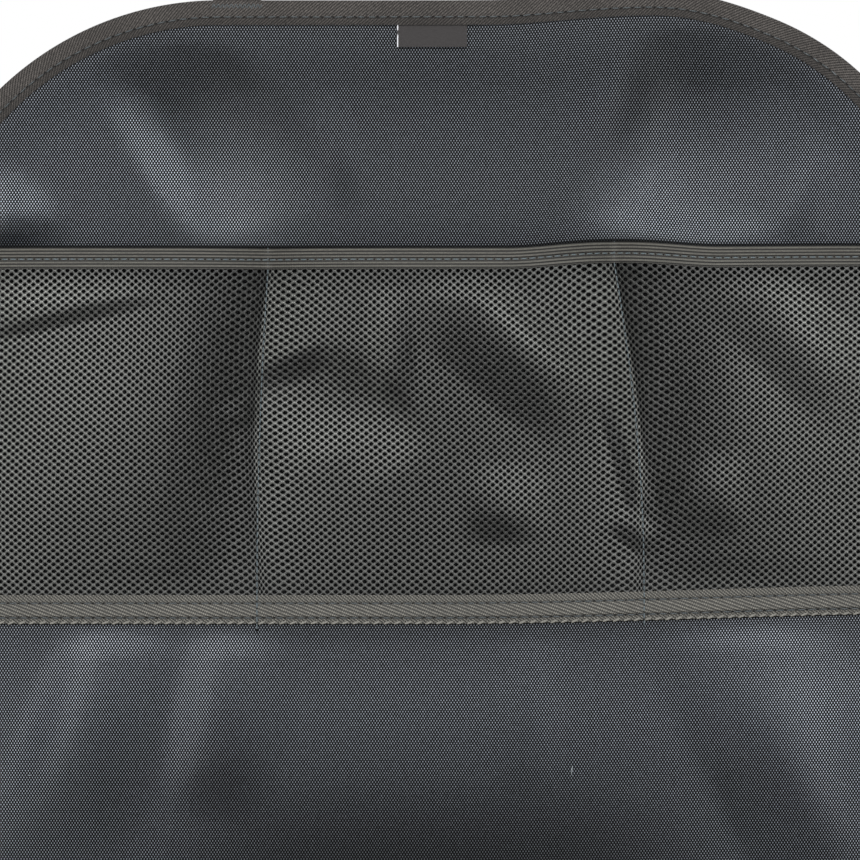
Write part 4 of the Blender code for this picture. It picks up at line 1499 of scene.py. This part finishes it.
def add_surroundings():
    """A dim light from all round, and a white for camera, glossy and transmission rays alone."""
    world = bpy.data.worlds.new("pale_room")
    bpy.context.scene.world = world
    world.use_nodes = True
    graph = Graph(world.node_tree)
    ambient = world.node_tree.nodes["Background"]
    ambient.inputs["Color"].default_value = AMBIENT_COLOUR
    ambient.inputs["Strength"].default_value = AMBIENT_STRENGTH
    dim = Wire(graph, ambient.outputs[0])
    white = {"Color": (1.0, 1.0, 1.0, 1.0), "Strength": 1.0}
    white = graph.add("ShaderNodeBackground", None, white)
    seen = graph.add("ShaderNodeLightPath", None, None, output="Is Camera Ray")
    rays = seen.socket.node.outputs
    for name in ("Is Glossy Ray", "Is Transmission Ray"):
        seen = seen.math("MAXIMUM", seen, Wire(graph, rays[name]))
    mixed = graph.add("ShaderNodeMixShader", None, {0: seen, 1: dim, 2: white})
    graph.link(mixed, world.node_tree.nodes["World Output"].inputs["Surface"])


def add_camera():
    """The camera, straight in front of the part."""
    camera = bpy.data.cameras.new("camera")
    camera.sensor_width = SENSOR_WIDTH
    camera.lens = FOCAL_LENGTH
    camera.clip_end = 50.0
    eye = add_object("camera", camera)
    eye.location = CAMERA_PLACE
    eye.rotation_euler = (math.pi / 2, 0.0, 0.0)
    bpy.context.scene.camera = eye


def build_stage():
    """The floor, the soft light, the pale surroundings and the camera."""
    add_floor()
    for lamp in LAMPS:
        add_softbox(*lamp)
    add_surroundings()
    add_camera()
    bpy.context.scene.view_settings.view_transform = "Standard"


class ORGANIZER_OT_panel(bpy.types.Operator):
    """Builds the woven panel."""

    bl_idname = "organizer.woven_panel"
    bl_label = "Woven panel"

    def execute(self, context):
        build_panel()
        return {"FINISHED"}


class ORGANIZER_OT_binding(bpy.types.Operator):
    """Builds the folded tape round the edge."""

    bl_idname = "organizer.edge_binding"
    bl_label = "Edge binding"

    def execute(self, context):
        build_binding()
        return {"FINISHED"}


class ORGANIZER_OT_net(bpy.types.Operator):
    """Builds the net of the three pockets."""

    bl_idname = "organizer.pocket_net"
    bl_label = "Pocket net"

    def execute(self, context):
        build_net()
        return {"FINISHED"}


class ORGANIZER_OT_tapes(bpy.types.Operator):
    """Builds the hem tape and the base tape of the pockets."""

    bl_idname = "organizer.pocket_tapes"
    bl_label = "Pocket tapes"

    def execute(self, context):
        build_hem_tape()
        build_base_tape()
        return {"FINISHED"}


class ORGANIZER_OT_straps(bpy.types.Operator):
    """Builds the two hanging straps."""

    bl_idname = "organizer.hanging_straps"
    bl_label = "Hanging straps"

    def execute(self, context):
        build_straps()
        return {"FINISHED"}


class ORGANIZER_OT_tag(bpy.types.Operator):
    """Builds the bare tag under the binding."""

    bl_idname = "organizer.tag"
    bl_label = "Tag"

    def execute(self, context):
        build_tag()
        return {"FINISHED"}


class ORGANIZER_OT_sewing(bpy.types.Operator):
    """Sews every row of stitches."""

    bl_idname = "organizer.sewing"
    bl_label = "Sewing"

    def execute(self, context):
        build_sewing()
        return {"FINISHED"}


class ORGANIZER_OT_lint(bpy.types.Operator):
    """Leaves a little fluff on the cloth."""

    bl_idname = "organizer.lint"
    bl_label = "Lint"

    def execute(self, context):
        build_lint()
        return {"FINISHED"}


class ORGANIZER_OT_declare(bpy.types.Operator):
    bl_idname = "organizer.declare_cloth"
    bl_label = "Declare cloth"

    def execute(self, context):
        return {"FINISHED"}


class ORGANIZER_OT_stage(bpy.types.Operator):
    """Sets the floor, the lamps, the surroundings and the camera."""

    bl_idname = "organizer.stage"
    bl_label = "Stage"

    def execute(self, context):
        build_stage()
        return {"FINISHED"}


STEPS = (
    ORGANIZER_OT_panel,
    ORGANIZER_OT_binding,
    ORGANIZER_OT_net,
    ORGANIZER_OT_tapes,
    ORGANIZER_OT_straps,
    ORGANIZER_OT_tag,
    ORGANIZER_OT_sewing,
    ORGANIZER_OT_lint,
    ORGANIZER_OT_declare,
    ORGANIZER_OT_stage,
)


class ORGANIZER_PT_sidebar(bpy.types.Panel):
    """Lists the organizer's sizes, colours and steps."""

    bl_idname = "ORGANIZER_PT_sidebar"
    bl_label = "Organizer"
    bl_space_type = "VIEW_3D"
    bl_region_type = "UI"
    bl_category = "Organizer"

    def draw(self, context):
        layout = self.layout
        for group in (sizes(), colours()):
            for name in group.__annotations__:
                layout.prop(group, name)
        for step in STEPS:
            layout.operator(step.bl_idname)


CLASSES = (OrganizerSizes, OrganizerColours, *STEPS, ORGANIZER_PT_sidebar)


def register():
    """Adds the classes and the scene's settings."""
    for item in CLASSES:
        bpy.utils.register_class(item)
    bpy.types.Scene.organizer_sizes = PointerProperty(type=OrganizerSizes)
    bpy.types.Scene.organizer_colours = PointerProperty(type=OrganizerColours)


def unregister():
    """Takes away what register added."""
    del bpy.types.Scene.organizer_colours
    del bpy.types.Scene.organizer_sizes
    for item in reversed(CLASSES):
        bpy.utils.unregister_class(item)


def main():
    """Builds every piece in order."""
    register()
    for step in STEPS:
        group, name = step.bl_idname.split(".")
        getattr(getattr(bpy.ops, group), name)()


if __name__ == "__main__":
    main()
